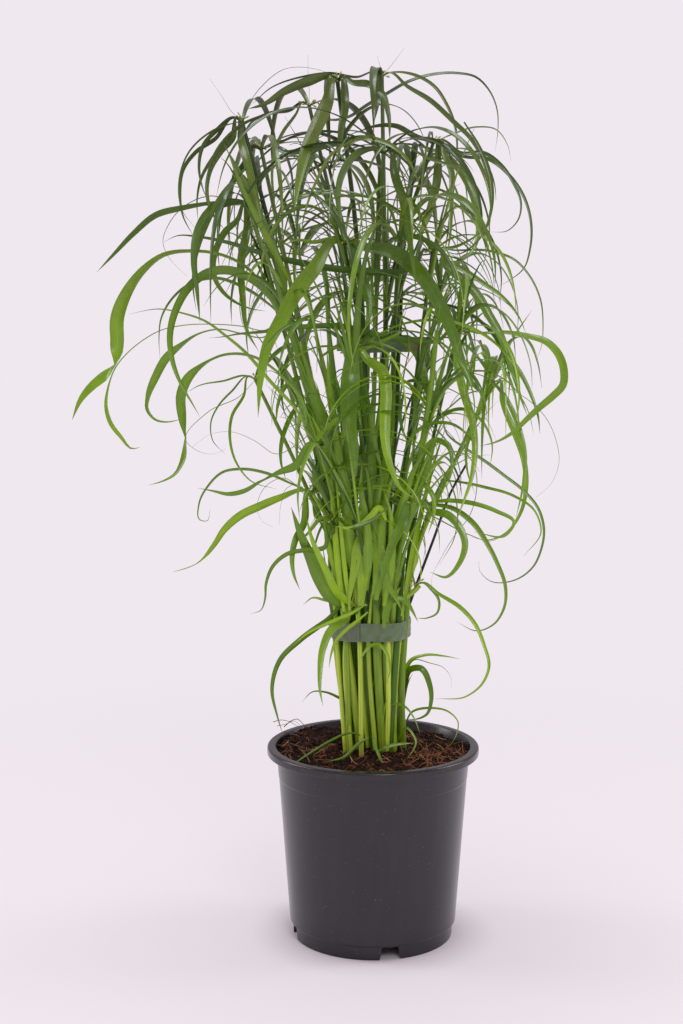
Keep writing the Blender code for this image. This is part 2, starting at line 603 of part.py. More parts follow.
def blade_rows(course, width, gap):
    """Rows of a blade: its two edges and its keel, narrow at the crown and drawn out at the tip."""
    path, across, upward, place = course
    swell = np.clip(place / BLADE_SWELL, 0.0, 1.0)
    share = (BLADE_START + (1 - BLADE_START) * swell * swell * (3 - 2 * swell)) * (1 - place**BLADE_POINT)
    half = (share * width / 2 + 2 * gap)[:, None]
    keel = (KEEL_SHARE * share * width + KEEL_LEAST + 2 * gap)[:, None]
    return np.stack((path - across * half + upward * gap, path + across * half + upward * gap,
                     path - upward * keel), axis=1)


def blade_solid(course, width, gap, first):
    """A blade as a three-sided solid, from its row first to its tip.

    All three sides are split along diagonals that run the same way, so that a twist doesn't
    drive the keel through the face above it.
    """
    rows = blade_rows(course, width, gap)[first:-1]
    vertices = [tuple(point) for point in rows.reshape(-1, 3)] + [tuple(course[0][-1])]
    faces = [(2, 1, 0)]
    for low in range(0, len(vertices) - 4, 3):
        left, right, keel, left_on, right_on, keel_on = range(low, low + 6)
        faces += [(left, right, right_on), (left, right_on, left_on), (right, keel, right_on),
                  (keel, keel_on, right_on), (keel, left, keel_on), (left, left_on, keel_on)]
    left, right, keel, tip = range(len(vertices) - 4, len(vertices))
    faces += [(left, right, tip), (right, keel, tip), (keel, left, tip)]
    return vertices, faces


def traced_points(plan, spec, hub, tip_depth, bulge):
    """Points of a blade through its pixels, its depth going from the crown's to the tip's."""
    marks = np.array(((plan["u"], plan["v"]),) + spec["marks"], float)
    run = np.concatenate(([0.0], np.cumsum(np.linalg.norm(np.diff(marks, axis=0), axis=1))))
    share = run / run[-1]
    depths = plan["depth"] + (tip_depth - plan["depth"]) * share + bulge * np.sin(math.pi * share)
    seen = [from_view(u, v, depth) for (u, v), depth in zip(marks[1:], depths[1:])]
    away = (seen[0] - hub) * np.array((1.0, 1.0, 0.0))
    shoulder = hub + unit(away) * SHOULDER_OUT + np.array((0.0, 0.0, SHOULDER_UP))
    near = np.linalg.norm(seen[0] - hub) < 2.2 * SHOULDER_OUT
    return [hub, shoulder] + (seen[1:] if near else seen)


def traced_ways(plan, spec, hub):
    """Ways to lay a traced blade, the reading itself first, then shifted step by step in depth."""
    for bulge in BULGES:
        for attempt in range(DEPTH_TRIES):
            away = (attempt + 1) // 2 * (1 if attempt % 2 else -1)
            tip_depth = spec["tip"] + away * DEPTH_STEP
            points = traced_points(plan, spec, hub, tip_depth, bulge)
            yield blade_course(points, None, spec["turns"]), spec["width"]


def within_reach(path):
    """True where a path stays in the leafy mass."""
    x, y, z = (path - POT_AXIS).T
    left, right, depth = (np.interp(z, REACH_HEIGHTS, reach)
                          for reach in (REACH_LEFT, REACH_RIGHT, REACH_DEPTH))
    inside = (x > -left) & (x < right) & (np.abs(y) < depth)
    return bool(np.all(inside & (z > REACH_HEIGHTS[0]) & (z < REACH_HEIGHTS[-1])))


def spare_ways(number, order, hub):
    """Ways to lay an untraced blade: an arch that leaves upwards, bends over and hangs."""
    chance = np.random.default_rng(1000 * number + order)
    away = (hub - POT_AXIS)[:2]
    heading = math.atan2(away[1], away[0]) + (order - 1.5) * SPARE_SPREAD
    for attempt in range(SPARE_TRIES):
        turn = heading + chance.normal(0.0, SPARE_TURN + SPARE_TURN_MORE * attempt)
        length = chance.uniform(*SPARE_LENGTHS) * (1 - SPARE_SHORTER * attempt)
        rise = math.radians(chance.uniform(*SPARE_RISES))
        fall = math.radians(chance.uniform(*SPARE_FALLS))
        curl = chance.uniform(*SPARE_CURLS)
        twist = chance.uniform(*SPARE_TWISTS)
        width = chance.uniform(*SPARE_WIDTHS)
        share = np.linspace(0.0, 1.0, SPARE_POINTS)
        pitch = rise - fall * share**SPARE_BEND
        yaw = turn + curl * share**2
        step = np.stack((np.cos(pitch) * np.cos(yaw), np.cos(pitch) * np.sin(yaw), np.sin(pitch)), axis=1)
        points = hub + np.vstack((np.zeros(3), np.cumsum(step[:-1], axis=0))) * length / (SPARE_POINTS - 1)
        if within_reach(points):
            side = np.array((-math.sin(turn), math.cos(turn), 0.0))
            yield blade_course(points, side, (0.0, twist)), width


def lay_blade(ways, number, placed, obstacles):
    """The first way that clears every other solid; blades of one crown may meet at the crown only."""
    own = placed[number]
    kin = [item["outer_tree"] for item in own["blades"]] + [own["culm_tree"]]
    rest = [tree for owner, tree in obstacles if owner != number]
    for course, width in ways:
        solid = blade_solid(course, width, 0.0, 0)
        if (clear_of(tree_of(blade_solid(course, width, BLADE_GAP, 0)), rest)
                and clear_of(tree_of(blade_solid(course, width, BLADE_GAP, 2)), kin)
                and clear_of(tree_of(solid), [own["culm_tree"]])):
            return {"solid": solid, "outer_tree": tree_of(blade_solid(course, width, 0.0, 2))}
    return None


def place_blades(placed, ties):
    """Traced blades first, then the spare ones, each where it clears all that is there."""
    obstacles = [(None, tree_of(solid)) for solid in ties.values()]
    obstacles.append((None, tree_of(pot_guard())))
    for number, item in placed.items():
        item["culm_tree"] = tree_of(item["culm"])
        obstacles += [(number, item["culm_tree"]), (number, tree_of(item["hub"]))]
    for traced in (True, False):
        for number, plan in enumerate(SHOOTS):
            hub = np.mean(np.array(placed[number]["hub"][0]), axis=0)
            if traced:
                all_ways = [traced_ways(plan, spec, hub) for spec in plan["blades"].values()]
            else:
                all_ways = [spare_ways(number, order, hub) for order in range(plan["spare"])]
            for ways in all_ways:
                laid = lay_blade(ways, number, placed, obstacles)
                if laid:
                    placed[number]["blades"].append(laid)
                    obstacles.append((number, tree_of(laid["solid"])))


def pot_guard():
    """A plain drum over the pot and its soil, which the blades stay clear of."""
    drum = [POT_AXIS, POT_AXIS + np.array((0.0, 0.0, POT_HEIGHT + CLEAR))]
    return loft(tube_rows(np.array(drum), (RIM_RADIUS + CLEAR,) * 2, POT_SIDES))


def make_material(name, colour, roughness):
    """Plain surface of one colour."""
    material = bpy.data.materials.new(name)
    material.use_nodes = True
    shader = material.node_tree.nodes["Principled BSDF"]
    shader.inputs["Base Color"].default_value = (*colour, 1.0)
    shader.inputs["Roughness"].default_value = roughness
    return material


def make_object(name, solid, material):
    """Object of one closed solid, its faces turned outwards."""
    mesh = bpy.data.meshes.new(name)
    mesh.from_pydata(solid[0], [], solid[1])
    work = bmesh.new()
    work.from_mesh(mesh)
    bmesh.ops.recalc_face_normals(work, faces=work.faces)
    if work.calc_volume(signed=True) < 0:
        bmesh.ops.reverse_faces(work, faces=work.faces)
    work.to_mesh(mesh)
    work.free()
    mesh.shade_smooth()
    mesh.set_sharp_from_angle(angle=math.radians(40))
    mesh.materials.append(material)
    item = bpy.data.objects.new(name, mesh)
    bpy.context.scene.collection.objects.link(item)
    return item


def combine(item, tools, operation, solver):
    """Join the tool solids to the object, or cut them from it, one after another."""
    for tool in tools:
        helper = make_object(item.name + "_tool", tool, item.data.materials[0])
        modifier = item.modifiers.new(operation.lower(), "BOOLEAN")
        modifier.operation = operation
        modifier.object = helper
        modifier.solver = solver
        graph = bpy.context.evaluated_depsgraph_get()
        mesh = bpy.data.meshes.new_from_object(item.evaluated_get(graph))
        item.modifiers.clear()
        item.data = mesh
        bpy.data.objects.remove(helper)


def fill_pockets(mesh):
    """Keep only the mesh's largest shell, so that small sealed pockets between crossing blades are solid."""
    work = bmesh.new()
    work.from_mesh(mesh)
    rest = set(work.faces)
    shells = []
    while rest:
        edge = [rest.pop()]
        shell = set(edge)
        while edge:
            near = {face for side in edge.pop().edges for face in side.link_faces} & rest
            rest -= near
            shell |= near
            edge += near
        shells.append(shell)
    keep = max(shells, key=len)
    bmesh.ops.delete(work, geom=[face for face in work.faces if face not in keep], context="FACES")
    work.to_mesh(mesh)
    work.free()


def turned_solid(profile, sides):
    """Closed solid turned round the pot's axis from a profile of radii and heights."""
    work = bmesh.new()
    corners = [work.verts.new((radius, 0.0, height)) for radius, height in profile]
    edges = [work.edges.new(pair) for pair in zip(corners, corners[1:])]
    bmesh.ops.spin(work, geom=corners + edges, axis=(0, 0, 1), cent=(0, 0, 0),
                   angle=math.tau, steps=sides, use_merge=True)
    bmesh.ops.remove_doubles(work, verts=work.verts, dist=0.01 * MM)
    bmesh.ops.translate(work, verts=work.verts, vec=POT_AXIS)
    work.verts.index_update()
    vertices = [tuple(vertex.co) for vertex in work.verts]
    faces = [tuple(vertex.index for vertex in face.verts) for face in work.faces]
    work.free()
    return vertices, faces


def pot_profile():
    """The pot from under its floor, round the foot and rim, down inside to the floor's top."""
    under_rim = POT_HEIGHT - RIM_SKIRT
    rim_inner = RIM_RADIUS - WALL
    return (
        (0.0, FLOOR_UNDER),
        (FOOT_RADIUS - FOOT_RING, FLOOR_UNDER),
        (FOOT_RADIUS - FOOT_RING, 0.0),
        (FOOT_RADIUS, 0.0),
        (FOOT_RADIUS + 0.3 * MM, STEP_HEIGHT - 1.2 * MM),
        (BODY_FOOT_RADIUS, STEP_HEIGHT),
        (BODY_TOP_RADIUS, under_rim),
        (MOUTH_RADIUS + WALL, under_rim + RIM_SKIRT - 2 * WALL),
        (rim_inner, under_rim + RIM_SKIRT - 2 * WALL),
        (rim_inner, under_rim),
        (RIM_RADIUS, under_rim),
        (RIM_RADIUS, POT_HEIGHT - RIM_ROUND),
        (RIM_RADIUS - RIM_ROUND, POT_HEIGHT),
        (MOUTH_RADIUS, POT_HEIGHT),
        (inner_radius(under_rim), under_rim - WALL),
        (inner_radius(STEP_HEIGHT + WALL), STEP_HEIGHT + WALL),
        (0.0, STEP_HEIGHT + WALL),
    )


def notch_solid(angle):
    """Tapered block that cuts one drainage notch through the foot ring."""
    turn = math.radians(angle)
    out = np.array((math.cos(turn), math.sin(turn), 0.0))
    side = np.array((-math.sin(turn), math.cos(turn), 0.0))
    rows = []
    for reach in (FOOT_RADIUS - 3 * FOOT_RING, FOOT_RADIUS + FOOT_RING):
        corners = ((-NOTCH_FOOT, -MM), (NOTCH_FOOT, -MM), (NOTCH_TOP, NOTCH_HEIGHT),
                   (-NOTCH_TOP, NOTCH_HEIGHT))
        rows.append([POT_AXIS + out * reach + side * across / 2 + np.array((0.0, 0.0, height))
                     for across, height in corners])
    return loft(np.array(rows))


def drain_solid(number):
    """Upright peg that cuts one drain hole through the floor."""
    angle = math.tau * (number + 0.5) / DRAIN_COUNT
    place = POT_AXIS + DRAIN_CIRCLE * np.array((math.cos(angle), math.sin(angle), 0.0))
    ends = np.array((place + (0, 0, FLOOR_UNDER - 2 * MM), place + (0, 0, STEP_HEIGHT + 4 * MM)))
    return loft(tube_rows(ends, (DRAIN_RADIUS,) * 2, DRAIN_SIDES))


def make_pot():
    """The moulded pot with its notches and drain holes."""
    plastic = make_material("moulded_plastic", (0.045, 0.04, 0.05), 0.45)
    pot = make_object("pot", turned_solid(pot_profile(), POT_SIDES), plastic)
    spacing = 360 / NOTCH_COUNT
    notches = [notch_solid(NOTCH_FIRST + number * spacing) for number in range(NOTCH_COUNT)]
    drains = [drain_solid(number) for number in range(DRAIN_COUNT)]
    combine(pot, notches + drains, "DIFFERENCE", "EXACT")


def soil_solid():
    """The soil: the pot's inside from the floor up, under a lumpy top."""
    floor = STEP_HEIGHT + WALL + CLEAR
    angle = np.arange(SOIL_SIDES) * math.tau / SOIL_SIDES
    around = np.stack((np.cos(angle), np.sin(angle)), axis=1)
    vertices = [(0.0, 0.0, floor)]
    edge = (inner_radius(POT_HEIGHT - RIM_SKIRT) - CLEAR) * math.cos(math.pi / POT_SIDES)
    low = (inner_radius(floor) - CLEAR) * math.cos(math.pi / POT_SIDES)
    vertices += [(low * x, low * y, floor) for x, y in around]
    for x, y in around:
        top = soil_height(edge * x, edge * y)
        reach = (inner_radius(min(top, POT_HEIGHT - RIM_SKIRT)) - CLEAR) * math.cos(math.pi / POT_SIDES)
        vertices.append((reach * x, reach * y, top))
    for ring in reversed(SOIL_RINGS):
        vertices += [(edge * ring * x, edge * ring * y, soil_height(edge * ring * x, edge * ring * y))
                     for x, y in around]
    vertices.append((0.0, 0.0, soil_height(0.0, 0.0)))
    faces = []
    for side in range(SOIL_SIDES):
        ahead = (side + 1) % SOIL_SIDES
        faces.append((0, 1 + ahead, 1 + side))
        for ring in range(len(SOIL_RINGS) + 1):
            base = 1 + ring * SOIL_SIDES
            faces.append((base + side, base + ahead, base + SOIL_SIDES + ahead, base + SOIL_SIDES + side))
        last = 1 + (len(SOIL_RINGS) + 1) * SOIL_SIDES
        faces.append((last + side, last + ahead, len(vertices) - 1))
    return [tuple(POT_AXIS + np.array(vertex)) for vertex in vertices], faces


def pocket_solid(path):
    """Upright pocket in the soil round a culm's foot."""
    ahead = unit(path[1] - path[0])
    ends = np.array((path[0] - ahead * CLEAR, path[0] + ahead * (POCKET_DEPTH + 6 * MM)))
    return loft(tube_rows(ends, (CULM_FOOT_RADIUS + CLEAR / math.cos(math.pi / CULM_SIDES),) * 2, CULM_SIDES))


def make_soil(placed):
    """The soil with a pocket for each culm."""
    soil = make_object("soil", soil_solid(), make_material("peat_soil", (0.05, 0.028, 0.018), 0.95))
    combine(soil, [pocket_solid(item["path"]) for item in placed.values()], "DIFFERENCE", "EXACT")


def make_shoots(placed):
    """Each culm, and each crown with its bracts joined into one piece."""
    stem = make_material("green_culm", (0.22, 0.38, 0.06), 0.5)
    leaf = make_material("green_bract", (0.11, 0.25, 0.04), 0.42)
    for number, item in placed.items():
        make_object(f"culm_{number + 1:02d}", item["culm"], stem)
        crown = make_object(f"bracts_{number + 1:02d}", item["hub"], leaf)
        combine(crown, [laid["solid"] for laid in item["blades"]], "UNION", "MANIFOLD")
        fill_pockets(crown.data)


def main():
    """Clear the scene and build the plant."""
    for item in list(bpy.data.objects):
        bpy.data.objects.remove(item)
    ties = tie_solids()
    placed = place_culms(ties)
    place_blades(placed, ties)
    make_pot()
    make_soil(placed)
    tape = make_material("woven_tape", (0.13, 0.19, 0.14), 0.7)
    for name, solid in ties.items():
        make_object(name, solid, tape)
    make_shoots(placed)


main()
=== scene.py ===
"""Finished look of the potted umbrella sedge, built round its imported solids.

Every culm and crown starts from the solid of the same name: a culm follows the rings of its tube, and
a crown's main bracts follow the blades found in its solid, drawn again with crease, veins and thread tips.
"""

import math

import bmesh
import bpy
import numpy as np
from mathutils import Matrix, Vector


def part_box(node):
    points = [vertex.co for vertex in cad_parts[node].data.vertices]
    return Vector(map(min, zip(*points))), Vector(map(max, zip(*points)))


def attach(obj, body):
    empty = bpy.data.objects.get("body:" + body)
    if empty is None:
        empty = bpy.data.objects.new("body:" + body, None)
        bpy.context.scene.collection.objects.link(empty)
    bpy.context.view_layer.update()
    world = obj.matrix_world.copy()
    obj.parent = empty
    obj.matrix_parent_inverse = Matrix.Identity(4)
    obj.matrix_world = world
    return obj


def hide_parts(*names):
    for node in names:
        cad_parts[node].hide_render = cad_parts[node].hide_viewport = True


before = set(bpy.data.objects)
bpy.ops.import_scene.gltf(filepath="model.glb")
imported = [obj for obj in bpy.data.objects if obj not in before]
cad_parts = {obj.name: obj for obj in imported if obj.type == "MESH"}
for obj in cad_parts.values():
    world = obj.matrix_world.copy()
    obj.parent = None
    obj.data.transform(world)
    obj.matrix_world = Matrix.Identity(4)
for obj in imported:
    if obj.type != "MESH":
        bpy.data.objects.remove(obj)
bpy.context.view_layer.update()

bl_info = {
    "name": "Potted umbrella sedge",
    "version": (1, 0, 0),
    "blender": (4, 5, 0),
    "location": "3D Viewport > Sidebar > Sedge",
    "description": "Builds an umbrella sedge in its nursery pot, with a stage to show it on",
    "category": "Add Mesh",
}

MM = 0.001

# The pot's upright axis and its main sizes, read from the frame
POT_LOW, POT_HIGH = (np.array(corner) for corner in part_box("pot"))
POT_AXIS = np.array(((POT_LOW[0] + POT_HIGH[0]) / 2, (POT_LOW[1] + POT_HIGH[1]) / 2, 0.0))
POT_HEIGHT = float(POT_HIGH[2])
RIM_RADIUS = float(POT_HIGH[0] - POT_LOW[0]) / 2

# The photograph's view: focal length and centre in pixels, the eye's place and its tilt, the camera's
# sensor in mm, and the depth in metres at which a line of sight is tried on both sides of the axis
FOCAL = 1800.0
PICTURE_SIZE = (683, 1024)
PICTURE_CENTRE = (341.5, 512.0)
EYE_BACK = 1575 * MM
EYE_HEIGHT = 606 * MM
EYE_PITCH = 0.139
EYE_YAW = -0.018
SENSOR = 36.0
TRIAL_DEPTH = 0.1

# How the solids' blades and culms are laid, so that the same ones are found again
HUB_LENGTH = 6.2 * MM
HUB_SHARES = (0.4 * MM, 0.45 * HUB_LENGTH, HUB_LENGTH)
SHOULDER_OUT = 6 * MM
SHOULDER_UP = 3 * MM
SHOULDER_NEAR = 2.2 * SHOULDER_OUT
DEPTH_STEP = 5 * MM
DEPTH_TRIES = 31
BULGES = (0.0, 12 * MM, -12 * MM, 24 * MM, -24 * MM, 36 * MM, -36 * MM)
SPARE_TRIES = 90
DENSE = 160
FINE = 60
CROWN_SHARE = 0.07
FOUND = 0.15 * MM
EDGE_FOUND = 3 * FOUND
JOIN = 0.005 * MM

# A blade that arches from a crown: its rise and fall in degrees, and how much shorter each new try is
ARCH_POINTS = 9
ARCH_POWER = 1.15
ARCH_RISES = (15, 60)
ARCH_FALLS = (105, 165)
ARCH_CURLS = (-0.5, 0.5)
ARCH_TWISTS = (-70, 70)
ARCH_SHORTER = 0.004

# Seeds of the random draws
SEEDS = {"culms": 5, "soil": 71, "growth": 91, "crowns": 500, "spares": 1000}

# Angles in degrees up to which the edges of each kind of mesh are shaded smooth
SMOOTH = {"pot": 32, "crumb": 35, "blade": 42, "rod": 50, "spikelet": 60, "peat": 75}

# How far the leafy mass reaches at each height, from the pot's axis: left, right and in depth
REACH_HEIGHTS = np.array((200, 305, 360, 413, 466, 520, 573, 618, 662, 706, 741, 768)) * MM
REACH_LEFT = np.array((60, 48, 62, 74, 90, 116, 150, 158, 160, 150, 124, 80)) * MM
REACH_RIGHT = np.array((50, 40, 66, 112, 138, 140, 126, 122, 120, 108, 96, 78)) * MM
REACH_DEPTH = np.array((60, 62, 90, 125, 155, 178, 200, 210, 205, 180, 145, 95)) * MM

# The pot's sizes, the same as in its solid
MOUTH_RADIUS = 87.5 * MM
RIM_SKIRT = 7 * MM
RIM_ROUND = 1.2 * MM
WALL = 1.5 * MM
BODY_TOP_RADIUS = 86.5 * MM
BODY_FOOT_RADIUS = 75 * MM
FOOT_RADIUS = 71.9 * MM
FOOT_RING = 3 * MM
STEP_HEIGHT = 13.75 * MM
FLOOR_UNDER = 12.2 * MM
COLLAR_STEP = 0.35 * MM
FOOT_FLARE = 0.3 * MM
FOOT_BEVEL = 1.2 * MM
POT_TURNS = 192
CURVE_RADIUS = 0.8 * RIM_ROUND
CURVE_POINTS = 5
CURVE_MOST = 0.45
NOTCH_COUNT = 4
NOTCH_FIRST = -77.4
NOTCH_TOP = 14.5 * MM
NOTCH_FOOT = 19 * MM
NOTCH_HEIGHT = 11.8 * MM
NOTCH_NEAR = 3
DRAIN_COUNT = 6
DRAIN_RADIUS = 5 * MM
DRAIN_CIRCLE = 48 * MM
DRAIN_SIDES = 24
DRAIN_ROWS = 3
DRAIN_BELOW = 2 * MM
DRAIN_ABOVE = 4 * MM
CLEAR = 0.3 * MM

# The soil's heaps, the same as in its solid, and how finely it is drawn
SOIL_LEVEL = 167.5 * MM
CLUMP_HEAP = 4.5 * MM
CLUMP_HEAP_SPREAD = 48 * MM
BACK_HEAP = 6 * MM
BACK_HEAP_SPREAD = 30 * MM
BACK_HEAP_X = -56 * MM
BACK_HEAP_Y = 44 * MM
SOIL_TILT = -1.2 * MM
SOIL_LUMP = 0.55 * MM
SOIL_WAVES = (9 * MM, 11 * MM, 6 * MM)
SOIL_PHASE = 1.3
SOIL_TURNS = 180
SOIL_RINGS = 60

# Random waves: how many are added up, and what their sum is divided by
WAVES = 12
WAVE_LEVEL = 4.0

# Hollows and clods on the soil, as height and length in mm and seed
CLODS = ((1.8, 21, 11), (1.5, 9, 12), (0.8, 4, 13))

# Crumbs: how far out they lie, the spread of their sizes, and how their corners and sides are drawn
CRUMB_EDGE = 0.985
CRUMB_SPREAD = 0.45
CRUMB_LARGEST = 4.2 * MM
CRUMB_DARK = 1.3
CRUMB_PUSH = (0.6, 1.25)
CRUMB_SIDES = ((0.7, 1.3), (0.5, 1.0), (0.4, 0.8))
BARK_LIFT = 2 * MM

# Bark lumps at pixels with half width in mm and tint
BARK = ((425, 753, 7.5, 0.95), (420, 757, 5.0, 0.9), (356, 742, 3.5, 0.7), (300, 742, 4.0, 0.4))

# Fibre patches as x, y and spread in mm from the axis, with their shares; then a fibre's ranges, in mm
FIBRE_PATCHES = ((58, -10, 16), (48, -34, 18), (-50, -8, 22), (0, -55, 26), (20, 30, 40))
FIBRE_SHARES = (0.34, 0.22, 0.16, 0.14, 0.14)
FIBRE_EDGE = 3 * MM
FIBRE_ROWS = 7
FIBRE_SIDES = 4
FIBRE_LENGTHS = (6, 24)
FIBRE_RADII = (0.16, 0.42)
FIBRE_PITCH = 0.38
FIBRE_STAND = 0.35
FIBRE_LIFT = 0.4 * MM
FIBRE_BENDS = (-1.4, 1.4)
FIBRE_CLIMBS = (-1.0, 0.6)
FIBRE_MIDDLE = 1.15
FIBRE_TAPER = 1.6

# Roots: width and depth in mm, pixels passed; then how finely they are drawn, their taper and tint
ROOTS = (
    (0.7, 52, ((273, 722), (281, 720), (290, 722), (297, 726), (304, 731))),
    (0.5, 52, ((277, 726), (286, 724), (294, 721), (302, 727))),
    (0.9, 50, ((284, 727), (291, 721), (297, 719), (303, 724), (309, 732))),
)
ROOT_ROWS = 14
ROOT_SIDES = 5
ROOT_TAPER = 0.4
ROOT_TINT = 0.15

# A way that no rod runs along, from which the sides of every rod are counted
ROD_GUIDE = np.array((0.31, -0.93, 0.2))

# Culms: sides in the solid, how finely they are drawn, and the ranges of their girth and flatness
CULM_SIDES = 5
CULM_PATH = 56
CULM_TURNS = 14
CULM_RIBS = 7
CULM_RIB_DEPTH = 0.05
CULM_GIRTHS = (0.7, 1.12)
CULM_FLATS = (0.78, 0.95)
# Each culm's place from deep green to yellow: partly its own colour, partly painted highlight and painted
# shade between the culms
CULM_TINTS = (0.9, 0.2, 0.55, 0.0, 1.0, 0.3, 0.7)
CULM_TINT_DRIFT = 0.1
SLIM_RADIUS = 2.7 * MM

# Where a culm is wide in its sheaths, bellies out at the lower tape and stands away from the middle
SHEATH_START = 190 * MM
SHEATH_END = 400 * MM
BELLY_HEIGHT = 290 * MM
BELLY_SPREAD = 60 * MM
CULM_SPREAD = 0.13

# Sheaths: how many clasp a culm, the heights of their mouths, and how the mouths slant and close
SHEATHS = 2
SHEATH_MOUTHS = (380 * MM, 325 * MM)
SHEATH_STEP = 0.3 * MM
SHEATH_LEAN = 45 * MM
SHEATH_SLANT = 14 * MM
SHEATH_DRIFT = 25
SHEATH_TINT_DRIFT = 0.15
SHEATH_CLOSE = 0.8
SHEATH_ROWS = 4

# Young shoots: shares of the lower tape's radii at the soil, the tape and the tip, and how far they
# rise past the tape; the last share of their length is the spear's
SHOOT_PATH = 30
SHOOT_SINK = 2 * MM
SHOOT_SPEAR = 0.35
SHOOT_FLAT = 0.8
SHOOT_FOOT = (0.45, 0.74)
SHOOT_TIE = 0.89
SHOOT_TOP = (0.9, 1.3)
SHOOT_RISE = (40 * MM, 110 * MM)
SHOOT_RADII = (1.8 * MM, 2.8 * MM)
SHOOT_SWAY = 0.35

# Heights between which leaves and stems go from their low green to their high green
LEAF_FOOT = 200 * MM
LEAF_TOP = 780 * MM
STEM_FOOT = 160 * MM
STEM_TOP = 760 * MM

# Heights between which soil stains the stems' feet, and soil smears thicken towards the pot's rim
STAIN_HEIGHTS = (184 * MM, 166 * MM)
SMEAR_HEIGHTS = (138 * MM, 172 * MM)

# A blade's half width: its share at the foot and what it gains, where it is full, and how it narrows
BLADE_FOOT = 0.45
BLADE_GAIN = 0.55
BLADE_SWELL = 0.3
BLADE_TAPER = 2.5

# Bracts: how they are drawn, their section half way out, and the ranges of their tints
LEAF_THICKNESS = 0.35 * MM
LEAF_EDGE = 0.12 * MM
THICK_SHARE = 0.5
HALF_DROP = 0.45
HALF_THICK = 0.8
VEINS = 5
VEIN_SPAN = 8 * MM
TRACED_TINTS = (0.1, 0.85)
SPARE_TINTS = (0.1, 0.8)

# Spare bracts, the same as in the solids: each one's heading, and how it sways more with each try
SPARE_TURN = 1.3
SPARE_MIDDLE = 1.5
SPARE_SWAYS = (0.35, 0.02)
SPARE_LENGTHS = (150 * MM, 235 * MM)
SPARE_WIDTHS = (4.5 * MM, 8.5 * MM)

# Thin bracts, only in the scene: their number goes by the crown's height, and low crowns turn theirs out
THIN_DRIFT = 0.3
THIN_SWAYS = (0.2, 0.03)
THIN_LENGTHS = (135 * MM, 240 * MM)
THIN_WIDTHS = (2 * MM, 6.5 * MM)
THIN_HEIGHTS = np.array((350, 520, 640, 760)) * MM
THIN_SHARES = (0.8, 0.85, 0.6, 0.15)
THIN_TRIES = 40
THIN_REACH = 0.93
THIN_CEILING = 712 * MM
LOW_HEIGHTS = (460 * MM, 620 * MM)
LOW_TURNS = (0.52, 1.0)

# Rays that end in spikelets: pitches in radians, lengths and radii in mm, and a ray's bare share
RAY_ROWS = 9
RAY_SIDES = 6
RAY_DRIFT = 0.3
RAY_PITCHES = (0.1, 1.3)
RAY_LENGTHS = (5, 13)
RAY_DROOP = 0.25
RAY_BARE = 0.55
RAY_RADIUS = 0.22 * MM
SPIKELET_RADII = (0.4, 0.75)
SPIKELET_SCALES = 60.0

# Leaves that stand between the culms: how many on each culm, and their ranges
INNER_PER_CULM = 7
INNER_STARTS = (270 * MM, 610 * MM)
INNER_LENGTHS = (110 * MM, 230 * MM)
INNER_WIDTHS = (3 * MM, 6.5 * MM)
INNER_LEANS = (0.02, 0.42)
INNER_NODS = (0.0, 0.5)
INNER_SWAY = 0.7
INNER_RISE = 0.97
INNER_FIRST_TURNS = (-20, 20)
INNER_LAST_TURNS = (-50, 50)
INNER_TOP = 60 * MM
INNER_SPAN = 3
INNER_REACH = 0.9

# Short leaves that stand up from the soil against the culms: how many on each, and their ranges
FOOT_PER_CULM = 1
FOOT_STARTS = (168 * MM, 200 * MM)
FOOT_LENGTHS = (40 * MM, 80 * MM)
FOOT_WIDTHS = (3 * MM, 5.5 * MM)
FOOT_LEANS = (0.0, 0.22)

# The turn in radians that spreads one thing after another evenly round a middle
GOLDEN_TURN = 2.39996

# Tapes: how finely they are drawn, the fold, and their wrinkles as height and length
TAPE_SPREAD = 1.3 * MM
TAPE_PATH = 240
TAPE_ACROSS = 7
TAPE_SEAM = -11 * MM
TAPE_BLEND = 2 * MM
TAPE_TAIL = 16
TAPE_TAIL_START = 0.05
TAPE_STEP = 0.9 * MM
TAPE_WRINKLES = ((0.35 * MM, 7 * MM), (0.2 * MM, 3 * MM))
TAPE_SWAY = 0.5 * MM
TAPE_SWAY_ROWS = 9.0
TAPE_FOLD = 1.3 * MM

# The tapes' node, centre, radii, height, width, first angle, turns and loose end, as in their solids,
# and a seed for their wrinkles
TAPES = (
    ("tie_lower", (-3 * MM, 0.0), (35.6 * MM, 31 * MM), 283 * MM, 16 * MM, -125, 1.06, 0.0, 37),
    ("tie_upper", (0.0, 0.0), (31.5 * MM, 27.5 * MM), 534 * MM, 13 * MM, -90, 1.04, 38 * MM, 31),
)

# Stage: floor, and lamps as name, place, size, share of the power and tone
FLOOR_RADIUS = 9.0
FLOOR_SIDES = 96
FLOOR_CLEAR = 0.25
FLOOR_FADE = 1.1
FLOOR_LIFTED = 1.5
# The share of the floor beside the pot that glows: painted light that lifts the pot's cast shadows
FLOOR_PAINTED_LIGHT = 0.48
AIR_SHARE = 0.56
AIM_HEIGHT = 0.45
LAMPS = (
    ("overhead lamp", (-0.1, 0.1, 2.3), (1.0, 0.8), 1.0, (0.90, 0.96, 1.0)),
    ("front lamp", (0.5, -1.9, 1.7), (0.7, 0.7), 0.9, (1.0, 0.99, 0.98)),
    ("left lamp", (-1.7, 0.3, 1.2), (0.7, 1.4), 0.85, (1.0, 0.98, 0.96)),
    ("right lamp", (1.7, 0.3, 1.2), (0.7, 1.4), 0.85, (1.0, 0.98, 0.97)),
)

